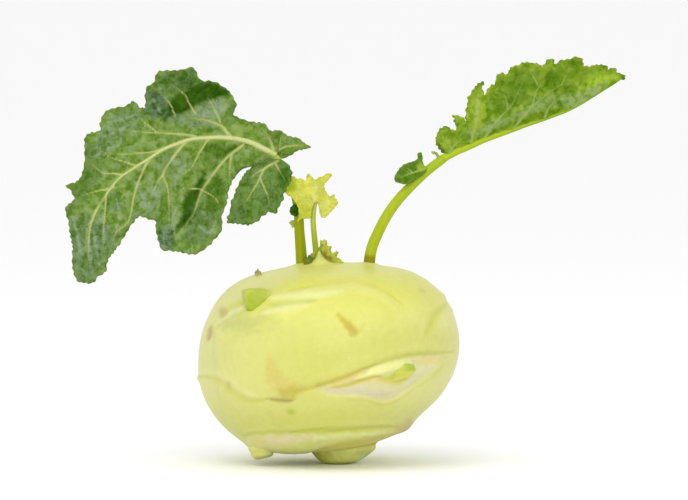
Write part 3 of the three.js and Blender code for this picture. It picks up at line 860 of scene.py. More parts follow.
def toothed(outline, height, pitch, seed, plain):
    """An outline as an even ring of points, with uneven teeth except near the plain places."""
    ring = curve_through(outline, 10 * len(outline), closed=True)
    loop = np.vstack([ring, ring[:1]])
    gone = np.concatenate([[0], np.cumsum(np.linalg.norm(np.diff(loop, axis=0), axis=1))])
    at = np.linspace(0, gone[-1], int(gone[-1] / 0.3), endpoint=False)
    ring = np.column_stack([np.interp(at, gone, loop[:, k]) for k in range(2)])
    ahead = np.roll(ring, -2, axis=0) - np.roll(ring, 2, axis=0)
    following = np.roll(ring, -1, axis=0)
    turning = np.sign(np.sum(ring[:, 0] * following[:, 1] - ring[:, 1] * following[:, 0]))
    out = np.column_stack([ahead[:, 1], -ahead[:, 0]]) * turning
    out /= np.linalg.norm(out, axis=1)[:, None]
    chance = np.random.default_rng(seed)
    gaps = chance.uniform(0.55, 1.45, int(gone[-1] / pitch) + 2) * pitch
    tips = np.cumsum(gaps)
    peaks = chance.uniform(0.25, 1, len(tips)) * height
    knots = np.column_stack([tips - 0.45 * gaps, tips]).ravel()
    levels = np.column_stack([np.full(len(tips), -0.25 * height), peaks]).ravel()
    tooth = np.interp(at, knots, levels)
    for px, pz, reach in plain:
        tooth *= fade(np.hypot(ring[:, 0] - px, ring[:, 1] - pz), 0.5 * reach, reach)
    return ring + out * tooth[:, None]


class Blade:
    """A thin leaf blade, cut out flat as seen from the front. Its veins, depth and colours are
    worked out for each of its points, and then it is given its thickness."""

    def __init__(self, outline, spacing=0.5, height=0.7, pitch=2.4, seed=1, plain=()):
        ring = toothed(outline, height, pitch, seed, plain)
        low, high = ring.min(0), ring.max(0)
        columns, rows = (np.arange(low[k], high[k], spacing * (1, 0.87)[k]) for k in range(2))
        x, z = np.meshgrid(columns, rows)
        x[1::2] += spacing / 2
        places = np.column_stack([x.ravel(), z.ravel()])
        places = places[inside(places, ring)]
        loop = np.vstack([ring, ring[:1]])
        places = places[to_line(places, loop)[0] > 0.5 * spacing]
        border = [(k, (k + 1) % len(ring)) for k in range(len(ring))]
        spots = [Vector(place) for place in np.vstack([ring, places]).tolist()]
        cut = delaunay_2d_cdt(spots, border, [], 1, 1e-5)
        self.places = np.array([tuple(spot) for spot in cut[0]])
        self.faces = [tuple(face) for face in cut[2]]
        self.margin = to_line(self.places, loop)[0]
        self.depth = np.zeros(len(self.places))
        self.veins = np.zeros(len(self.places))

    def vein(self, points, width, valley=0.0, reach=2.5, pale=1.0, ridge=0.2):
        """A vein that narrows along its line and lies in a valley of the blade."""
        line = curve_through(points, 6 * len(points))
        far, along, _ = to_line(self.places, line)
        slender = 0.92 * width * (1 - 0.55 * along)
        mark = np.exp(-((far / slender) ** 2))
        edge = 0.3 * np.exp(-((far / (2.6 * slender)) ** 2))
        self.veins = np.maximum(self.veins, np.maximum(mark, edge) * pale * (1 - 0.6 * along**1.5))
        self.depth += valley * np.exp(-((far / reach) ** 2)) * (1 - 0.6 * along) - ridge * mark

    def points(self):
        """The points of the sheet, with its depth as it is now."""
        return np.column_stack([self.places[:, 0], self.depth, self.places[:, 1]])

    def skin(self, colour):
        return Skin(self.points(), colour, thin=True)

    def thick(self, name, thickness, material, colour):
        """The closed mesh: the front sheet, the back sheet and the edge between them."""
        return close_sheet(name, self.points(), self.faces, thickness, material, colour,
                           vein=self.veins, margin=self.margin)


def close_sheet(name, points, faces, thickness, material, colour, **values):
    """Gives an open sheet of triangles its thickness and closes it along its edge."""
    corners = np.array(faces)
    a, b, c = (points[corners[:, k]] for k in range(3))
    straight = np.cross(b - a, c - a)
    normals = np.zeros_like(points)
    for k in range(3):
        np.add.at(normals, corners[:, k], straight)
    normals /= np.maximum(np.linalg.norm(normals, axis=1), 1e-12)[:, None]
    both = np.vstack([points + normals * thickness / 2, points - normals * thickness / 2])
    count = len(points)
    edges = {}
    for face in faces:
        for k in range(3):
            edges[(face[k], face[(k + 1) % 3])] = True
    closed = list(faces)
    closed += [(face[2] + count, face[1] + count, face[0] + count) for face in faces]
    closed += [(q, p, p + count, q + count) for p, q in edges if (q, p) not in edges]
    doubled = {key: np.tile(numbers, 2) for key, numbers in values.items()}
    return mesh_of(name, both, closed, material, np.tile(colour, (2, 1)), **doubled)


def leaf_skin(name, vein_colour, bloom, glow, shade=(0.6, 0.74, 0.3), wax=0.6, net=0.3):
    """A waxy leaf: its own greens, broken up into darker and lighter patches, with a pale bloom
    where they are greyer, a faint net of fine veins, and light that comes through from behind."""
    graph = Graph(name)
    where = graph.place()
    tone = graph.attribute("tone", "Color")
    vein = graph.attribute("vein")
    strength = graph.add("ShaderNodeSeparateColor", {"mode": "HSV"}, {"Color": tone}, output=1)
    greyness = 1 - strength.between(0.35, 1.0)
    broad = graph.noise(where, 170, 4, 0.65, 0.6)
    small = graph.noise(where, 420, 4, 0.65, 0.4)
    fine = graph.noise(where, 1300, 2, 0.6)
    small_colour = Value(graph, small.socket.node.outputs["Color"])
    shove = graph.add("ShaderNodeVectorMath", {"operation": "SCALE"},
                      {"Vector": small_colour, "Scale": 0.0028})
    bent = graph.add("ShaderNodeVectorMath", {"operation": "ADD"}, {0: where, 1: shove})
    cells = graph.add("ShaderNodeTexVoronoi", {"feature": "DISTANCE_TO_EDGE"},
                      {"Vector": bent, "Scale": 330.0})
    lines = (1 - cells.between(0.0, 0.14)) * (1 - vein) * broad.between(0.35, 0.6)
    puffed = cells.between(0.0, 0.4)
    darker = graph.mix(1.0, tone, shade, "MULTIPLY")
    lighter = graph.mix(1.0, tone, (1.28, 1.2, 1.2), "MULTIPLY")
    green = graph.mix(small.between(0.4, 0.54), darker, tone)
    green = graph.mix(broad.between(0.5, 0.72), green, lighter)
    dusty = small.between(0.42, 0.58) * 0.6 + broad.between(0.42, 0.6) * 0.5
    bloomed = graph.mix(dusty * fine.between(0.2, 0.6) * greyness * wax, green, bloom)
    netted = graph.mix(lines * greyness * net, bloomed, bloom)
    veined = graph.mix(vein.between(0.1, 0.9), netted, vein_colour)
    relief = graph.bump(puffed * (1 - vein) + small * 0.6 + fine * 0.3, 0.00034, 0.8)
    graph.feed(graph.shader.inputs["Specular IOR Level"], 0.05)
    leaf = graph.finish(Base_Color=veined, Roughness=0.5 + 0.15 * (1 - small), Normal=relief)
    through = graph.add("ShaderNodeBsdfTranslucent", {}, {"Color": glow, "Normal": relief})
    solid = Value(graph, graph.shader.outputs[0])
    both = graph.add("ShaderNodeMixShader", {}, {0: 0.2, 1: solid, 2: through})
    graph.feed(graph.output.inputs["Surface"], both)
    return leaf


stalk_tree = ribbed_stalk_tree()
LEFT_STALK_LINE = [(-12.1, -2, 63), (-12.4, -2.2, 69), (-12.8, -2.6, 75), (-13.2, -3, 80), (-13.5, -3.2, 86),
                   (-14.6, -3.4, 92.5), (-17, -3.6, 99), (-19.8, -3.8, 103.8), (-21.5, -3.9, 106.2)]
left_stalk_skin = stalk_skin("left_stalk_skin", linear(158, 168, 4), linear(164, 186, 30),
                             linear(180, 172, 40), 0.13,
                             linear(190, 204, 90), 0.45)
left_stalk_mesh = grow("left_stalk", stalk_tree, curve_through(LEFT_STALK_LINE, 70), left_stalk_skin,
                       Width=4.1 * MM, Tip=0.54, Flare=0.08, Ribs=5.0, Rib_Height=0.07)

leaf_green = linear(138, 170, 72)
leaf_dark_green = linear(56, 104, 0)
leaf_grey = linear(158, 182, 134)
old_leaf_skin = leaf_skin("old_leaf", linear(208, 218, 132), linear(166, 188, 152), linear(84, 124, 2),
                          wax=1.0, net=0.4)
OLD_LEAF_THICKNESS = 0.4

LEFT_MIDRIB = [(-21.5, 106.5), (-25, 108.5), (-30, 111), (-35, 112.3), (-40, 112.8), (-45, 112.7),
               (-50, 112.3),
               (-55, 110.8), (-60, 108.8), (-65, 105.5), (-70, 102.5), (-75, 99), (-78, 95.5), (-81, 91),
               (-84, 86), (-86, 81), (-86.5, 74), (-87, 66)]
LEFT_OUTLINE = [(-20.5, 108), (-20.5, 112), (-20, 115), (-23.5, 115), (-25, 117.3), (-30, 118), (-33, 119),
                (-36, 120.5), (-35.2, 124), (-37, 128), (-40, 130.5), (-43, 132), (-47, 132.5), (-49, 136),
                (-50, 137), (-55, 136), (-59, 136), (-62, 135), (-63, 132), (-65.5, 130), (-66, 126),
                (-66, 123.3), (-68, 123), (-70, 125), (-73, 123.5), (-76, 123), (-80, 121.5), (-81.5, 118),
                (-82, 115), (-86.5, 113.5), (-87, 108), (-87, 104), (-88, 100), (-90, 97.5), (-93.5, 96.5),
                (-92, 95), (-90.5, 92.5), (-91, 91), (-93.6, 88.5), (-92.6, 85), (-92, 81), (-91, 75),
                (-91.2, 70), (-90, 65), (-88.6, 63.4), (-84, 63.3), (-83, 65), (-80, 67), (-79.5, 69),
                (-79, 71), (-75, 76.5), (-71, 83), (-68.5, 86), (-66, 85.5), (-62, 84), (-62.5, 82),
                (-61, 76), (-60, 74.5), (-55, 74), (-50, 73), (-46, 74.5), (-43, 77.5), (-40, 81), (-40, 86),
                (-38.5, 90), (-37.5, 95), (-36, 98.5), (-33.4, 101.6), (-30.8, 102.6), (-28, 103),
                (-24.5, 102.6), (-22, 104.6)]
blade = Blade(LEFT_OUTLINE, height=0.5, pitch=2.6, seed=11, plain=[(-22, 107, 7), (-32, 103, 6)])
x, z = blade.places.T
rib = curve_through(LEFT_MIDRIB, 120)
far, _, side = to_line(blade.places, rib)
upper = side < 0
crease = np.interp(x, (-66, -60, -55, -50, -45, -41, -36), (121, 119.4, 121, 123.2, 125, 127, 129))
past = np.maximum(0, z - crease)
lean = np.where(upper, 0.5 * far - 0.006 * far**2, -0.1 * far)
curl = np.where(upper & (x > -67), 1.15 * past - 0.012 * past**2, 0)
blade.depth = -4.4 + 0.125 * (x + 22) + lean - curl
blade.depth += (0.6 * ripple(blade.places, 9, 21) * fade(far, 0, 5)
                + 0.36 * ripple(blade.places, 4, 22) * fade(far, 0, 3))
blade.depth += 1.3 * ripple(blade.places, 8, 23) * np.exp(-blade.margin / 2.2)
for points, width, valley in (
    ([(-36.5, 112.6), (-38, 114.2), (-40, 116.5), (-45, 118.5), (-52, 119.5)], 0.75, 0.9),
    ([(-48, 112.6), (-50, 113.4), (-55, 114), (-65, 114.5), (-75, 115.5)], 0.5, 0.9),
    ([(-59, 109.3), (-64, 107.8), (-68, 107.5), (-74, 107.2), (-80, 107.5)], 0.45, 0.8),
    ([(-74, 100), (-75.5, 100.3), (-78, 100.6), (-81, 101), (-85, 104)], 0.45, 0.6),
    ([(-77, 96), (-79, 95.2), (-83, 94.5), (-88, 93)], 0.45, 0.6),
    ([(-22, 107.5), (-23.5, 112), (-25.5, 115.5)], 0.5, 0.6),
    ([(-49, 121), (-51, 124), (-53, 128), (-58, 132)], 0.4, 0.7),
    ([(-40.5, 118), (-41.3, 120), (-43, 123), (-45, 127)], 0.4, 0.5),
    ([(-32, 111.2), (-33.5, 109.5), (-38, 106), (-42, 101.5), (-46.5, 95), (-48, 91), (-50, 86), (-53, 82),
      (-56, 78)], 0.6, 1.8),
    ([(-46.5, 95), (-50, 95.4), (-53, 95.4), (-55.5, 93)], 0.3, 0.4),
    ([(-47, 94.8), (-44, 93.4), (-42, 91.8), (-40.5, 89)], 0.3, 0.4),
    ([(-44, 112.6), (-45.5, 111), (-48, 107), (-50, 103), (-55, 99)], 0.4, 0.8),
    ([(-51.5, 112), (-53.5, 110), (-57, 105.5), (-60, 100.5), (-58.6, 96), (-58, 91), (-58, 85),
      (-57.5, 80.5)],
     0.52, 1.0),
    ([(-59.6, 101), (-62, 97.5), (-63.5, 94), (-65, 90)], 0.32, 0.5),
    ([(-64, 106.2), (-66, 103.5), (-68, 99), (-70, 93), (-71, 87), (-72.5, 83.5), (-76, 80.5), (-77.5, 76),
      (-79, 71)], 0.5, 1.0),
    ([(-36.5, 106.8), (-37, 104), (-37.2, 100), (-37, 96)], 0.35, 0.3),
    ([(-83, 88), (-85, 82), (-85.6, 74), (-85, 66)], 0.4, 0.6),
    ([(-79.5, 93.5), (-80, 86), (-80.5, 78), (-80, 72)], 0.32, 0.3),
    ([(-69, 103), (-73, 104.5), (-78, 106), (-83, 110)], 0.3, 0.3),
    ([(-62, 114.4), (-66, 117.5), (-70, 121)], 0.3, 0.3),
    ([(-56, 120), (-58, 125), (-62, 129)], 0.3, 0.3),
):
    blade.vein(points, width, valley)
blade.vein(LEFT_MIDRIB[:-1], 1.1, 0.9, 5, ridge=0)
leaf = blade.skin(leaf_green)
# Painted shade in the hollows of the blade's small crinkles and a pale grey painted highlight on their
# crests, following its relief
crinkle_shading = ripple(blade.places, 4, 22) + 0.5 * ripple(blade.places, 2.2, 26)
leaf.tint(fade(crinkle_shading, 0.2, 1.1), linear(92, 136, 26), 0.55)
leaf.tint(fade(-crinkle_shading, 0.3, 1.2), linear(158, 184, 120), 0.5)
# Past the crease the upper lobe curls forward into shade: its dark green here is painted shade over the
# lobe's own deeper green
leaf.area([(-60, 119.3), (-58, 125.6), (-53.6, 129), (-47.6, 131.9), (-42, 132), (-37.2, 127.6),
           (-41.6, 126.2),
           (-47, 124.4), (-52, 122), (-56, 120)], 1.1, leaf_dark_green, 0.95)
leaf.line([(-54, 122.6), (-50, 126.5), (-44, 130)], 1.2, linear(92, 132, 40), 0.45)
# Painted shade on the left of the curled lobe, a bluer green
leaf.area([(-66, 121), (-65.7, 129), (-60, 127.5), (-58.5, 122), (-60.5, 119.5)], 1.2, linear(82, 120, 74),
          0.85)
leaf.area([(-62, 130), (-60, 135.5), (-51, 136.5), (-49, 132), (-54, 129)], 1.5, linear(96, 134, 62), 0.7)
leaf.area([(-51, 120.4), (-47, 123.4), (-40.5, 126), (-38.5, 123), (-41, 119.8), (-46, 119.4)], 1.2,
          leaf_grey, 0.75)
leaf.area([(-37, 119), (-34, 118.5), (-36.3, 124.5), (-38.4, 124)], 1.0, linear(96, 136, 36), 0.7)
leaf.area([(-36, 114), (-27, 111), (-23, 114), (-26, 117), (-33, 118.4), (-38, 117.6)], 1.5,
          linear(142, 174, 72), 0.8)
leaf.area([(-86, 106), (-82, 114), (-76, 121), (-69, 122), (-67, 118), (-75, 112), (-80, 106)], 2.0,
          linear(122, 150, 92), 0.6)
leaf.area([(-34, 109), (-42, 111.5), (-44.5, 109.5), (-39, 105.4), (-36.5, 107)], 1.2, linear(92, 134, 26),
          0.7)
leaf.area([(-47, 106), (-45, 110.5), (-40, 108.5), (-43.5, 103.5)], 1.2, linear(90, 130, 30), 0.6)
# Painted shadow in the fold on the left of the long vein
leaf.area([(-45.5, 101), (-49.5, 96), (-52.5, 93), (-54, 86), (-55.5, 82), (-52.5, 82.5), (-49.2, 88),
           (-47.4, 94)], 1.1, leaf_dark_green, 0.9)
# Painted shade in the patch on the right of the long vein
leaf.area([(-46, 93), (-42, 99), (-38.6, 97), (-40.5, 90), (-42.5, 86)], 1.2, linear(84, 128, 26), 0.7)
leaf.area([(-48.5, 90), (-44.5, 89), (-42, 83), (-46, 77), (-53, 78), (-52, 83)], 2.0, linear(100, 134, 68),
          0.6)
leaf.area([(-61.5, 82), (-58, 83), (-56, 77), (-58, 74.5), (-61, 75)], 1.0, linear(78, 112, 78), 0.85)
leaf.area([(-66, 85), (-61, 91), (-59, 88), (-59, 82), (-62.5, 81)], 1.2, linear(116, 150, 62), 0.5)
leaf.area([(-70, 86), (-66, 95), (-61, 97), (-62, 90), (-65, 86)], 1.4, leaf_grey, 0.5)
leaf.area([(-92, 84), (-84, 86), (-76, 79), (-81, 70), (-84, 64), (-89.5, 64), (-91.5, 74)], 2.0,
          linear(104, 136, 78), 0.75)
leaf.area([(-92.5, 96.5), (-86, 103), (-84, 96), (-88, 92), (-93.5, 89)], 1.6, linear(98, 136, 44), 0.7)
leaf.area([(-86.5, 110), (-82, 108), (-80, 102), (-84, 97), (-88, 101)], 1.6, linear(112, 146, 60), 0.65)
leaf.area([(-63, 105), (-56, 108.5), (-52, 104), (-57, 100), (-60, 101)], 1.6, linear(132, 160, 92), 0.6)
leaf.area([(-80, 90), (-76, 88), (-74, 91), (-77, 94.5)], 1.0, linear(96, 136, 48), 0.6)
leaf.area([(-58, 118.6), (-56, 121), (-50, 118.8), (-44, 118.4), (-42, 116.6), (-50, 116.6)], 1.0,
          linear(140, 168, 110), 0.7)
leaf.area([(-54, 134), (-50, 136), (-49, 132), (-52, 130)], 1.0, linear(84, 124, 50), 0.6)
for points in (
    [(-86.2, 82), (-85.2, 75), (-84.4, 66)], [(-83.8, 81), (-82.8, 75), (-82, 69)],
    [(-81, 90), (-80.4, 84), (-80, 77)],
    [(-91, 86), (-89.4, 79), (-88, 72)], [(-76, 92), (-75, 86), (-76.5, 80)],
    [(-84, 112), (-78, 114), (-72, 117)],
    [(-79, 118), (-74, 119), (-69, 121)], [(-84, 106), (-79, 109), (-73, 111)],
    [(-70, 98), (-67, 93), (-66, 88)],
    [(-62, 132), (-60, 128), (-58, 125)], [(-64, 127), (-62, 124), (-61, 121)],
    [(-55, 90), (-56.6, 85), (-56, 79)],
    [(-48, 83), (-44, 80), (-42, 84)], [(-52, 104), (-55, 100), (-56, 95)],
):
    leaf.line(points, 0.5, linear(162, 184, 146), 0.7)
leaf.bump((-75.2, -11, 87), (0.8, 30, 0.9), linear(170, 190, 90), 0.8)
leaf.tint(np.exp(-blade.margin / 0.5), linear(126, 160, 62), 0.6)
blade_mesh = blade.thick("left_leaf_sheet", OLD_LEAF_THICKNESS, old_leaf_skin, leaf.colour)


def midrib_line(line, depth_of, raised, count=90):
    """The line of a midrib laid on a blade, raised a little in front of it."""
    flat = curve_through(line, count)
    nearest = [int(np.argmin(np.hypot(*(depth_of.places - place).T))) for place in flat]
    depths = depth_of.depth[nearest]
    smooth = np.convolve(np.pad(depths, 4, mode="edge"), np.ones(9) / 9, mode="valid")
    return np.column_stack([flat[:, 0], smooth - raised, flat[:, 1]])


midrib_skin = stalk_skin("pale_midrib", linear(214, 220, 150), linear(200, 210, 128), linear(206, 212, 132),
                         0.05,
                         linear(200, 212, 128))
midrib_mesh = grow("left_midrib", stalk_tree, midrib_line(LEFT_MIDRIB[:-2], blade, 0.0), midrib_skin,
                   Width=1.9 * MM, Tip=0.12, Flare=0.2, Ribs=4.0, Rib_Height=0.03)
finish_piece("left_leaf", joined("left_leaf", blade_mesh, midrib_mesh), "leaf_dark", "left_leaf_blade")

# Lower lobe of the left leaf, hanging from the top of the stalk
lobe = Blade([(-20.5, 105.5), (-23, 105), (-26.5, 104), (-31, 101.5), (-34, 97), (-36, 92), (-37, 88),
              (-37.8, 84),
              (-35, 83.5), (-31, 83), (-28, 84), (-26, 86), (-23.5, 87.5), (-21.5, 86.8), (-20.5, 89),
              (-19, 91.5), (-18.5, 94), (-16.5, 98), (-16, 101), (-17, 103.5), (-19, 105)],
             spacing=0.42, height=0.55, pitch=2.2, seed=31, plain=[(-20.5, 105, 5)])
x = lobe.places[:, 0]
LOBE_RIB = [(-20.5, 105), (-23, 103.6), (-25.5, 101.8), (-27, 98.5), (-29, 95), (-31.5, 91), (-33.5, 87.5)]
far = to_line(lobe.places, curve_through(LOBE_RIB, 60))[0]
lobe.depth = -7.9 + 0.06 * (x + 20) - 0.14 * far
lobe.depth = lobe.depth + 0.5 * ripple(lobe.places, 7, 32) + 0.2 * ripple(lobe.places, 3.5, 33)
lobe.depth += 0.8 * ripple(lobe.places, 6, 34) * np.exp(-lobe.margin / 1.8)
lobe.vein(LOBE_RIB, 0.5, 1.0)
lobe.vein([(-26.8, 99.2), (-25.4, 96), (-24, 92.5), (-23.4, 89)], 0.34, 0.4)
lobe.vein([(-25, 102.2), (-28.5, 100.5), (-31, 97.5)], 0.32, 0.4)
lobe.vein([(-21.5, 104), (-19.6, 101), (-18, 98)], 0.32, 0.3)
lobe_paint = lobe.skin(linear(118, 154, 64))
lobe_paint.area([(-17, 103), (-20, 102), (-21, 98), (-18.5, 95), (-16.3, 99)], 1.2, leaf_dark_green, 0.75)
lobe_paint.area([(-36.5, 86), (-33, 90), (-31, 87), (-33, 84)], 1.5, linear(90, 128, 58), 0.7)
lobe_paint.area([(-27, 92), (-23, 96), (-20.5, 92), (-24, 88.5)], 1.5, linear(98, 136, 60), 0.7)
lobe_paint.area([(-30, 100), (-27, 102.5), (-25.5, 99), (-29, 95.5)], 1.2, linear(142, 172, 88), 0.6)
lobe_paint.tint(np.exp(-lobe.margin / 0.45), linear(102, 142, 44), 0.6)
lobe_mesh = lobe.thick("left_leaf_hanging_lobe", OLD_LEAF_THICKNESS, old_leaf_skin, lobe_paint.colour)
finish_piece("left_leaf_hanging_lobe", lobe_mesh, "leaf_dark", "left_leaf_lower_lobe")

# Pointed lobe behind the top of the stalk
lobe = Blade([(-20.5, 106), (-21.5, 110), (-20.5, 115), (-17, 113), (-13.5, 112.3), (-11.5, 110.5),
              (-9.3, 109.2),
              (-12, 108.6), (-14, 108), (-17, 106.2), (-19, 105.4)],
             spacing=0.4, height=0.35, pitch=1.8, seed=41, plain=[(-20.5, 107, 4), (-9.3, 109.2, 2)])
x, z = lobe.places.T
lobe.depth = -0.6 + 0.12 * (x + 20) + 0.22 * np.maximum(0, z - 109) + 0.25 * ripple(lobe.places, 4, 42)
lobe.vein([(-20.8, 108), (-18, 109.4), (-14, 109.8), (-10, 109.4)], 0.4, 0.8)
lobe.vein([(-20.3, 108.5), (-20, 111), (-19.6, 113.5)], 0.34, 0.4)
lobe_paint = lobe.skin(linear(140, 172, 72))
lobe_paint.area([(-19, 108.6), (-15, 109), (-11, 109), (-14, 108), (-18, 106)], 0.8, linear(114, 152, 48),
                0.7)
lobe_paint.area([(-18, 112.6), (-15, 112), (-16, 110.4), (-19, 111)], 0.8, linear(158, 184, 112), 0.6)
pointed_mesh = lobe.thick("left_leaf_pointed_lobe", OLD_LEAF_THICKNESS, old_leaf_skin, lobe_paint.colour)
finish_piece("left_leaf_pointed_lobe", pointed_mesh, "leaf_dark", "left_leaf_back_lobe")

# The stalk, with a shred of old leaf at its left, and the tiny dark leaflet higher up
shred = Blade([(-14.6, 84.2), (-15.7, 84.2), (-16.8, 83.4), (-16, 82.6), (-15.7, 81.8), (-14.6, 82)],
              spacing=0.3, height=0.25, pitch=1.2, seed=51, plain=[(-14.4, 83, 1.2)])
shred.depth = -3.6 - 0.1 * (shred.places[:, 0] + 14)
shred_paint = shred.skin(linear(190, 204, 84))
shred_mesh = shred.thick("shred", OLD_LEAF_THICKNESS, old_leaf_skin, shred_paint.colour)
finish_piece("left_stalk", joined("left_stalk", left_stalk_mesh, shred_mesh), "left_stalk_skin",
             "left_leaf_stalk")
leaflet = Blade([(-13.5, 88.4), (-14.1, 89.4), (-15.3, 89.5), (-16.2, 88.6), (-16.5, 87.4), (-15.9, 86.3),
                 (-14.6, 85.8),
                 (-13.5, 86.6)], spacing=0.3, height=0.2, pitch=1.1, seed=61)
far = np.hypot(*(leaflet.places - (-14.9, 87.7)).T)
leaflet.depth = -5.6 + 0.175 * far**2
leaflet_paint = leaflet.skin(linear(66, 112, 16))
leaflet_paint.bump((-14.8, -5.6, 87.4), (0.9, 9, 0.9), linear(34, 84, 10), 0.9)
leaflet_mesh = leaflet.thick("left_stalk_leaflet_green", 0.5, old_leaf_skin, leaflet_paint.colour)
finish_piece("left_stalk_leaflet_green", leaflet_mesh, "leaf_dark", "left_stalk_leaflet")


# ------------------------------------------------------------------------------------------------
# Young leaf: a thin pale yellow leaf that has only just unfolded, on its own slender stalk in front
# of the left one. Its blade is ragged, with a soft fold that runs up from the stalk.
YOUNG_STALK_LINE = [(-7.2, -5.4, 64), (-7.4, -5.8, 70), (-7.6, -6, 74), (-8.1, -6.3, 79), (-8.5, -6.6, 84),
                    (-8.3, -6.9, 88), (-7.9, -7.2, 91)]
young_stalk_skin = stalk_skin("young_stalk_skin", linear(156, 176, 14), linear(168, 188, 36),
                              linear(132, 160, 10), 0.36,
                              linear(200, 208, 76))
young_stalk_mesh = grow("young_stalk", stalk_tree, curve_through(YOUNG_STALK_LINE, 50), young_stalk_skin,
                        Width=2.1 * MM, Tip=0.8, Flare=0.5, Ribs=3.0, Rib_Height=0.1)
finish_piece("young_stalk", young_stalk_mesh, "right_stalk_skin", "young_leaf_stalk")

young_leaf_skin = leaf_skin("young_leaf", linear(236, 236, 140), linear(230, 232, 140), linear(250, 250, 60),
                            shade=(0.9, 0.93, 0.78), wax=0.3, net=0.15)
young = Blade([(-18.3, 94.5), (-17.4, 96.5), (-16.4, 99.2), (-15, 99.4), (-14, 98.6), (-12.6, 98.9),
               (-11.4, 98),
               (-10.8, 98.6), (-10.5, 100.2), (-9.6, 100.1), (-8.3, 98.6), (-7, 98.7), (-6, 99.4), (-5, 99.5),
               (-3.8, 100.4), (-2, 100.1), (-3.2, 98.6), (-4.6, 96.8), (-4.6, 95.6), (-4.2, 94.4),
               (-3.1, 92.7), (-1.9, 92.9), (-1.1, 93.4), (-1.1, 92.2), (0, 90.6), (-1.5, 88.4), (-3, 86.8),
               (-4.2, 85.6), (-5.4, 85.4), (-6, 86.4), (-6.4, 88), (-6.9, 90), (-7.6, 90.8), (-8.4, 90),
               (-9, 87.6), (-9.4, 85.4), (-11.2, 85), (-12.6, 84.8), (-13.8, 84), (-13.5, 86), (-13.7, 89),
               (-15.6, 92), (-17.2, 93.2)],
              spacing=0.33, height=0.25, pitch=1.4, seed=71, plain=[(-8, 90, 4)])
x, z = young.places.T
young.depth = -8.2 - 0.55 * np.exp(-(((x + 7.9) / 1.6) ** 2)) * fade(z, 86, 92)
young.depth += 0.35 * np.abs(x + 8) ** 0.7 * 0.35 + 0.3 * ripple(young.places, 5, 72)
young.depth += 0.4 * ripple(young.places, 3.5, 73) * np.exp(-young.margin / 1.2)
for points, width in (
    ([(-8.2, 88.5), (-7.9, 92), (-7.6, 97.5)], 0.6), ([(-8.4, 89.5), (-10.5, 93.5), (-11.6, 97.5)], 0.32),
    ([(-8, 91), (-5.5, 95.5), (-3.2, 99.4)], 0.34), ([(-7.4, 91), (-4.6, 90.6), (-1.6, 90.6)], 0.32),
    ([(-9.2, 89.5), (-12.6, 92.5), (-15.5, 96)], 0.32), ([(-6.8, 90), (-5, 88.6), (-3.6, 87.4)], 0.28),
):
    young.vein(points, width, 0.0, ridge=0.12, pale=0.7)
young_paint = young.skin(linear(230, 232, 96))
young_paint.area([(-18, 94.5), (-16.4, 99), (-14.4, 98.4), (-14.8, 94.5), (-16.6, 93.4)], 1.2,
                 linear(182, 204, 44), 0.85)
young_paint.area([(-14.8, 90), (-10, 90), (-9, 86), (-12, 84.8), (-15, 84.6)], 1.2, linear(206, 214, 64), 0.7)
young_paint.area([(-7.6, 96), (-5.5, 97.6), (-4.6, 95), (-6, 93)], 0.9, linear(222, 228, 100), 0.7)
young_paint.area([(-9.2, 99), (-7.4, 98), (-7.2, 92), (-8.8, 91.6)], 0.6, linear(240, 240, 140), 0.7)
young_paint.area([(-6.2, 90.6), (-3, 91.6), (-2.6, 88.6), (-5, 87)], 0.9, linear(240, 240, 130), 0.7)
young_paint.tint(np.exp(-young.margin / 0.35), linear(214, 222, 72), 0.6)
young_mesh = young.thick("young_leaf", 0.35, young_leaf_skin, young_paint.colour)
finish_piece("young_leaf", young_mesh, "leaf_pale", "young_leaf_blade")


# ------------------------------------------------------------------------------------------------
# Crown: the growing tip, a pale green spike where new leaves come from, with a ragged dried bud at
# its right and a dark one at its left. They are soft, and wrapped in small overlapping scales.
SCALE_THICKNESS = 0.3


def scale_leaf(foot, tip, half_width, bulge, colour, tip_colour, material, twist=0.0):
    """A small pointed scale from foot to tip, bowed outwards."""
    foot, tip = np.array(foot, float), np.array(tip, float)
    steps, across = 14, 9
    forward = tip - foot
    sideways = np.array((math.cos(twist), math.sin(twist), 0.0))
    outwards = np.cross(sideways, forward / np.linalg.norm(forward))
    points = []
    shares = []
    for row in range(steps):
        share = row / (steps - 1)
        swelling = 0.62 + 0.55 * math.sin(math.pi * min(1, share * 1.25))
        width = half_width * swelling * (1 - share**3.5) + 0.06
        middle = foot + forward * share + outwards * bulge * math.sin(math.pi * share)
        for column in range(across):
            turn = column / (across - 1) * 2 - 1
            points.append(middle + sideways * width * turn - outwards * 0.45 * half_width * turn**2)
            shares.append(share)
    faces = []
    for row in range(steps - 1):
        for column in range(across - 1):
            a = row * across + column
            faces.append((a, a + 1, a + across + 1))
            faces.append((a, a + across + 1, a + across))
    shares = np.array(shares)[:, None]
    tones = colour * (1 - shares) + tip_colour * shares
    return close_sheet("scale", np.array(points), faces, SCALE_THICKNESS, material, tones,
                       cork=np.zeros(len(points)))


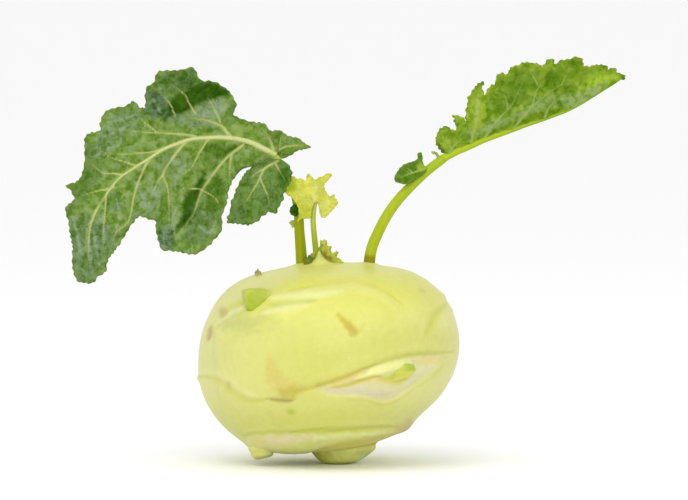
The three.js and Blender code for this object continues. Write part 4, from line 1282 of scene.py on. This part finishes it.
crown_skin = waxy_skin("crown_skin", 0.48)
PALE_SPIKE = linear(212, 216, 118)
directions, faces = globe(96, 70)
share = 0.5 + np.arcsin(np.clip(directions[:, 2], -1, 1)) / np.pi
level = np.maximum(np.hypot(directions[:, 0], directions[:, 1]), 1e-9)
height = 62 + 13.6 * share
reach = np.interp(height, (62, 66, 68.4, 69.6, 71, 73, 74.6, 75.6), (7.5, 6.6, 5, 3.4, 2.1, 1.2, 0.6, 0.02))
turn = np.arctan2(directions[:, 1], directions[:, 0])
reach *= 1 + 0.1 * np.sin(3 * turn + 0.4 * height) * fade(height, 67, 70)
spike_points = np.column_stack([
    -6.2 + directions[:, 0] / level * reach + 0.03 * (height - 70),
    -2.6 + directions[:, 1] / level * reach * 0.8,
    height,
])
spike_points[[0, -1], :2] = (-6.2, -2.6)
spike = Skin(spike_points, SKIN_PALE)
x, _, z = spike_points.T
spike.tint(fade(z, 69.5, 74), PALE_SPIKE, 0.9)
spike.tint(fade(-x, 6.4, 9) * fade(z, 68, 71.5), linear(168, 176, 62), 0.85)
spike.tint(fade(z, 73.6, 75.4), linear(186, 200, 80), 0.8)
spike_mesh = mesh_of("crown_spike", spike_points, faces, crown_skin, spike.colour, cork=spike.cork)
sheath_colours = (linear(150, 146, 40), linear(164, 168, 44))
sheath = scale_leaf((-9.3, -6.2, 70.3), (-7.7, -7.3, 74), 0.95, 0.3, *sheath_colours, crown_skin, 0.1)
finish_piece("crown_spike", joined("crown_spike", spike_mesh, sheath), "bulb_skin", "growing_tip")

bud_skin = waxy_skin("bud_scales", 0.6)
OLIVE = linear(166, 158, 34)
STRAW = linear(184, 194, 52)
TORN_BUD = [(-2.6, 67), (-4, 69.4), (-5.2, 72), (-5.8, 74.6), (-6.1, 77.3), (-5.2, 77.2), (-4.6, 77.7),
            (-4.3, 76.6),
            (-4.4, 75.9), (-3.8, 75.5), (-3, 75.5), (-2.7, 75.2), (-3.2, 74.6), (-2.9, 73.6), (-2.1, 73),
            (-1.4, 73.2), (-0.4, 73.7), (-0.6, 72.9), (-1.2, 72.4), (-1, 71.6), (-0.2, 71.4), (0.7, 70.6),
            (1.6, 69.6), (2.6, 69), (2, 67.6), (-2, 66.6)]
bud_layers = []
for shift, low, depth, bend, seed, front in (
    (0, 0, -5.2, 0.5, 111, 1), (0.3, -0.8, -3.4, 0.3, 112, 1), (0.6, -0.3, -1.9, -0.3, 113, -1),
    (0.1, -1.3, -0.6, -0.5, 114, -1),
):
    torn = Blade([(px + shift, pz + low) for px, pz in TORN_BUD], spacing=0.26, height=0.22, pitch=0.9,
                 seed=seed,
                 plain=[(-1, 66, 3)])
    x, z = torn.places.T
    torn.depth = depth + bend * (0.12 * (x + 2.5) ** 2 - 0.1 * (z - 67))
    torn.depth += 0.35 * ripple(torn.places, 2.6, seed) * front
    layer = torn.skin(STRAW)
    layer.area([(-4.9, 70), (-4.6, 73.6), (-3.6, 74), (-2.6, 71.8), (-1.6, 70.6), (-1, 69), (-4, 68.4)],
               0.9, OLIVE, 0.95)
    layer.bump((-2.9, depth, 70.4), (1.2, 9, 1.3), linear(142, 136, 10), 0.85)
    layer.bump((-4.2, depth, 73), (0.5, 9, 1.6), linear(166, 130, 66), 0.6)
    layer.tint(np.exp(-torn.margin / 0.3), linear(202, 210, 84), 0.6)
    points = torn.points()
    bud_layers.append(close_sheet("torn_scale", points, torn.faces, SCALE_THICKNESS, bud_skin, layer.colour,
                                  cork=np.full(len(points), 0.1)))
finish_piece("ragged_bud", joined("ragged_bud", *bud_layers), "bud_scales", "heart_bud")

DARK_OLIVE = linear(84, 116, 0)
side_scales = []
for foot, tip, half_width, bulge, twist in (
    ((-10.1, -7, 67.8), (-9.9, -7.2, 72.4), 1.2, 0.5, 0.0), ((-9.4, -6.4, 67.8), (-9, -6.8, 72.9), 1.0, 0.4,
                                                             0.5),
    ((-10.8, -6.4, 67.8), (-11, -6.6, 71.6), 0.9, 0.4, -0.5), ((-10.1, -5, 67.8), (-9.9, -5, 72), 1.1, 0.4,
                                                               3.1),
    ((-10, -7.4, 69.4), (-9.8, -7.8, 71.8), 0.6, 0.3, 0.1),
):
    colours = (linear(140, 146, 6), DARK_OLIVE)
    side_scales.append(scale_leaf(foot, tip, half_width, bulge, *colours, bud_skin, twist))
finish_piece("dark_bud", joined("dark_bud", *side_scales), "bud_scales", "side_bud")


# ------------------------------------------------------------------------------------------------
# Right leaf: a younger leaf on a long bowed stalk. Its blade is folded up along the midrib into two
# halves with frilled, toothed edges, and a small leaflet grows part of the way up the stalk.
RIGHT_STALK_LINE = [(10.6, 1, 63), (10.9, 1, 70), (11.9, 1.2, 75), (14, 1.5, 80), (16.6, 1.8, 85),
                    (20, 2.2, 90),
                    (24.5, 2.6, 95), (29.5, 3, 99.8), (33.4, 3.4, 103), (36.4, 3.7, 105.2)]
right_stalk_skin = stalk_skin("right_stalk_skin", linear(180, 196, 34), linear(190, 206, 64),
                              linear(146, 140, 2), 0.19,
                              linear(172, 194, 44))
right_stalk_mesh = grow("right_stalk", stalk_tree, curve_through(RIGHT_STALK_LINE, 80), right_stalk_skin,
                        Width=3.9 * MM, Tip=0.8, Flare=0.12, Ribs=5.0, Rib_Height=0.05)
tag = Blade([(34.2, 105.6), (33.6, 106.6), (32.4, 107), (32.6, 107.8), (34, 107.4), (35, 106.2)],
            spacing=0.35, height=0.15, pitch=1, seed=81)
tag.depth += 3.2
FRILLED_LEAF_THICKNESS = 0.45
frilled_skin = leaf_skin("frilled_leaf", linear(178, 200, 112), linear(164, 188, 132), linear(150, 190, 4),
                         net=0.35)
tag_paint = tag.skin(linear(180, 200, 90))
tag_mesh = tag.thick("tag", 0.35, frilled_skin, tag_paint.colour)
finish_piece("right_stalk", joined("right_stalk", right_stalk_mesh, tag_mesh), "right_stalk_skin",
             "right_leaf_stalk")

RIGHT_MIDRIB = [(35.5, 104.7), (38, 106.2), (41.5, 107.9), (45, 109.3), (50, 111.5), (55, 113.3), (60, 115),
                (65, 116.8),
                (70, 118.4), (75, 120.1), (80, 122), (85, 124.6), (90, 127.6), (95, 130.6), (99, 133.2)]
NEAR_MARGIN = [(35.8, 109.5), (34.2, 111.5), (34, 113), (35, 115), (37.3, 116.5), (38.5, 115.5), (40.5, 115),
               (41.3, 116.5), (40.8, 118.5), (39.8, 120), (41.5, 120.1), (43, 119.5), (44.2, 118.3),
               (44.3, 121),
               (44.8, 125), (46, 128), (47.5, 130), (49, 131.3), (50.5, 131.3), (49.5, 130), (50, 128),
               (51, 127), (51.5, 129), (53, 130.3), (54.5, 131), (54.8, 133.5), (56.8, 134.8), (58.5, 134),
               (59.5, 136.5), (62, 137.5), (65, 138.5), (67, 138.2), (69, 138), (70.2, 136.8), (71, 137.5),
               (73.5, 139.7), (75, 137.5), (77, 139), (80, 139.5), (82.3, 140.3), (84, 139.3), (85, 137),
               (87.5, 137), (90, 137.5), (93, 137), (93.5, 135.8), (95.5, 136.5), (96.5, 134.8),
               (99.3, 133.9)]
along_fold = [(px, pz, 2.2) for px, pz in curve_through(RIGHT_MIDRIB, 60)]
near_half = Blade([*RIGHT_MIDRIB[1:], *NEAR_MARGIN[::-1]], spacing=0.45, height=0.6, pitch=1.9, seed=91,
                  plain=along_fold)
x = near_half.places[:, 0]
far = to_line(near_half.places, curve_through(RIGHT_MIDRIB, 100))[0]
frill = np.exp(-near_half.margin / 2.4) * fade(far, 1, 4)
near_half.depth = 3.8 + 0.085 * (x - 36.9) - 0.2 * far
near_half.depth += 0.45 * ripple(near_half.places, 8, 92) * fade(far, 0, 5)
near_half.depth += 1.3 * ripple(near_half.places, 5.5, 93) * frill + 0.26 * ripple(near_half.places, 3.5, 94)
for points, width, valley in (
    ([(38.5, 107), (39.5, 109), (41.5, 111), (44, 113)], 0.5, -0.3),
    ([(50.5, 111.8), (51.2, 113.2), (53.2, 116.5), (57, 120.5), (60, 124), (63, 130), (65, 134)], 0.55, -0.5),
    ([(60.5, 115.2), (61.8, 117), (65, 121), (70, 125.8), (75, 129.5), (79, 131), (82, 130)], 0.55, -0.5),
    ([(71.5, 119), (72, 121), (73.2, 123.2), (76, 125.5), (80, 126)], 0.45, -0.4),
    ([(67, 123), (68, 127), (70, 131), (74, 134)], 0.35, -0.3),
    ([(58.5, 122), (58, 126), (56.6, 130)], 0.32, -0.3), ([(82, 123.2), (85, 127), (90, 131), (94, 134)],
                                                          0.35, -0.3),
    ([(46, 110), (46.8, 116), (47.8, 122), (48.6, 128)], 0.42, -0.3),
    ([(77, 130.5), (79, 134), (81, 137)], 0.32, -0.3),
    ([(40, 107.6), (38.2, 110.5), (36.8, 113.5)], 0.36, -0.2), ([(69, 131), (67, 134), (66, 136.5)], 0.3,
                                                                -0.2),
):
    near_half.vein(points, width, valley, pale=0.8)
near_paint = near_half.skin(linear(140, 174, 44))
# Painted shade in the hollows of the half's small crinkles and a paler painted highlight on their crests,
# following its relief
crinkle_shading = ripple(near_half.places, 3.5, 94) + 0.5 * ripple(near_half.places, 2, 121)
near_paint.tint(fade(crinkle_shading, 0.1, 1), linear(108, 150, 10), 0.55)
near_paint.tint(fade(-crinkle_shading, 0.3, 1.1), linear(168, 196, 92), 0.45)
near_paint.area([(43.6, 113), (52, 113.5), (58, 117), (66, 121), (76, 124), (88, 128), (92, 131), (82, 128),
                 (75, 127),
                 (66, 124), (60, 119.8), (54, 118.2), (47, 116)], 1.6, linear(170, 194, 116), 0.75)
near_paint.area([(54, 124), (58, 132), (63, 136), (70, 134), (66, 127), (59, 123)], 2.0,
                linear(118, 154, 44), 0.7)
near_paint.area([(70, 131), (74, 135), (80, 135), (86, 133), (80, 130)], 1.5, linear(124, 160, 34), 0.75)
near_paint.area([(83, 128.6), (88, 134.6), (97, 134.6), (94, 131), (88, 128.6)], 1.8, linear(190, 220, 70),
                0.85)
for patch in ((60, 130, 1.3), (58.5, 125, 1.0), (73, 132.5, 1.8), (79, 128.4, 1.7), (82, 134.8, 1.8),
              (77, 124.2, 1.6),
              (65.5, 130.5, 2.0), (70, 128.4, 1.4), (88, 136, 1.5), (85.5, 130.6, 1.2), (54.5, 121.6, 1.0)):
    near_paint.bump((patch[0], 5, patch[1]), (patch[2], 40, patch[2] * 0.8), linear(106, 150, 6), 0.65)
# The narrow lobe is painted yellow-green: painted light shining through its thin blade
near_paint.area([(44.2, 119), (45, 125.5), (49, 131), (50.2, 127), (51, 120), (50, 116), (46, 115)], 1.0,
                linear(172, 200, 58), 0.85)
near_paint.bump((57, 5, 128), (2.2, 40, 1.8), linear(142, 178, 52), 0.6)
near_paint.line([(47.6, 116), (47.8, 122), (48.4, 128)], 0.9, linear(200, 218, 116), 0.8)
near_paint.area([(34.6, 112), (36, 115.6), (40, 114.5), (41, 110.5), (38, 108), (36, 109)], 1.2,
                linear(172, 200, 68), 0.8)
near_paint.area([(40.4, 116.4), (40.4, 119.6), (43.6, 119.2), (45, 116), (43, 114)], 0.8,
                linear(142, 178, 50), 0.7)
# Painted shade just above the keel, where the near half curves into the midrib
near_paint.line([(47, 111.4), (54, 114.6), (62, 117.4), (70, 120.2), (78, 122.8)], 1.1,
                linear(118, 150, 10), 0.8)
near_paint.line([(38, 108.2), (42, 110), (47, 111.8), (52, 113.4)], 1.0, linear(150, 180, 50), 0.7)
near_paint.area([(78, 124), (86, 129), (93, 131.5), (90, 127.6), (82, 123.2)], 1.0, linear(172, 196, 116),
                0.7)
edge_share = np.exp(-near_half.margin / 0.8) * fade(far, 2, 5)
near_paint.tint(edge_share, linear(178, 208, 52), 0.75)
near_paint.tint(edge_share * fade(ripple(near_half.places, 5, 99), -0.1, 0.5), linear(108, 150, 8), 0.75)
near_mesh = near_half.thick("near_half", FRILLED_LEAF_THICKNESS, frilled_skin, near_paint.colour)

far_margin = [(px + 0.4 * math.sin(px), pz - 2.4 + 0.8 * math.sin(px / 3))
              for px, pz in NEAR_MARGIN[::-1] if pz > 112.5]
far_half = Blade([*RIGHT_MIDRIB[1:], *far_margin], spacing=0.55, height=0.6, pitch=2.1, seed=95,
                 plain=along_fold)
x = far_half.places[:, 0]
far = to_line(far_half.places, curve_through(RIGHT_MIDRIB, 100))[0]
frill = np.exp(-far_half.margin / 2.4) * fade(far, 1, 4)
far_half.depth = 4.1 + 0.085 * (x - 36.9) + 0.75 * far + 0.5 * ripple(far_half.places, 8, 96) * fade(far, 0,
                                                                                                     5)
far_half.depth += 1.2 * ripple(far_half.places, 5.5, 97) * frill
for points, width in (
    ([(50.5, 111.8), (53.2, 116.5), (57, 120.5), (60, 124), (63, 130)], 0.5),
    ([(60.5, 115.2), (65, 121), (70, 125.8), (75, 129.5)], 0.5), ([(71.5, 119), (74, 124), (79, 128)], 0.42),
    ([(40, 108), (42, 112), (46, 118), (48, 124)], 0.4), ([(82, 123.2), (86, 128), (91, 132)], 0.36),
):
    far_half.vein(points, width, 0.5, pale=0.8)
far_paint = far_half.skin(linear(128, 160, 54))
far_paint.tint(0.5 + 0.5 * ripple(far_half.places, 6, 98), linear(104, 144, 34), 0.5)
far_paint.tint(np.exp(-far_half.margin / 0.8) * fade(far, 2, 5), linear(158, 190, 50), 0.7)
far_mesh = far_half.thick("far_half", FRILLED_LEAF_THICKNESS, frilled_skin, far_paint.colour)

keel_line = [(x, 3.8 + 0.085 * (x - 36.9), z) for x, z in curve_through(RIGHT_MIDRIB, 90)]
keel_skin = stalk_skin("right_midrib", linear(180, 202, 36), linear(190, 208, 58), linear(180, 200, 46), 0.02,
                       linear(136, 168, 30), 0.0)
keel_mesh = grow("right_midrib", stalk_tree, keel_line, keel_skin,
                 Width=2.7 * MM, Tip=0.08, Flare=0.05, Ribs=4.0, Rib_Height=0.06)
finish_piece("right_leaf", joined("right_leaf", near_mesh, far_mesh, keel_mesh), "leaf_light",
             "right_leaf_blade")

# The small leaflet on the right stalk, with a narrow upright tip like a horn
leaflet = Blade([(20.6, 97.1), (23.3, 96.6), (26.5, 98), (29.5, 100), (30.6, 101.6), (29.8, 103),
                 (29.2, 104.4),
                 (29.2, 105.8), (28.7, 107.3), (27.6, 107.2), (27.4, 105.2), (25.5, 104.2), (23.6, 103.6),
                 (22, 102.6),
                 (20.3, 100.5), (19.5, 98.7), (19.8, 97.6)],
                spacing=0.33, height=0.2, pitch=1.6, seed=101, plain=[(29.5, 101.5, 2)])
x = leaflet.places[:, 0]
LEAFLET_RIB = [(30, 101.8), (27, 100.8), (24, 99.8), (21, 98.6)]
far, _, side = to_line(leaflet.places, curve_through(LEAFLET_RIB, 40))
leaflet.depth = 0.6 + 0.1 * (x - 29) - np.where(side < 0, 0.0, 0.3) * far + 0.15 * ripple(leaflet.places, 4,
                                                                                          102)
leaflet.vein(LEAFLET_RIB, 0.38, 0.7)
leaflet.vein([(25.5, 100.6), (24, 102), (22.4, 102.2)], 0.26, 0.2)
leaflet_paint = leaflet.skin(linear(120, 158, 48))
leaflet_paint.area([(20, 98), (24, 99.4), (28.5, 100.6), (27, 98.4), (22, 96.8)], 0.7, linear(96, 140, 26),
                   0.7)
leaflet_paint.area([(27, 103), (29.6, 103.6), (30.4, 101.6), (28, 101)], 0.7, linear(168, 198, 60), 0.8)
leaflet_paint.area([(21.5, 101.5), (24, 103.4), (26, 103), (23.5, 101)], 0.8, linear(104, 146, 38), 0.6)
leaflet_paint.bump((28.2, 0, 106.4), (0.8, 30, 1.2), linear(110, 152, 28), 0.7)
leaflet_mesh = leaflet.thick("right_stalk_leaflet", FRILLED_LEAF_THICKNESS, frilled_skin,
                             leaflet_paint.colour)
finish_piece("right_stalk_leaflet", leaflet_mesh, "leaf_dark", "right_leaf_lobe")
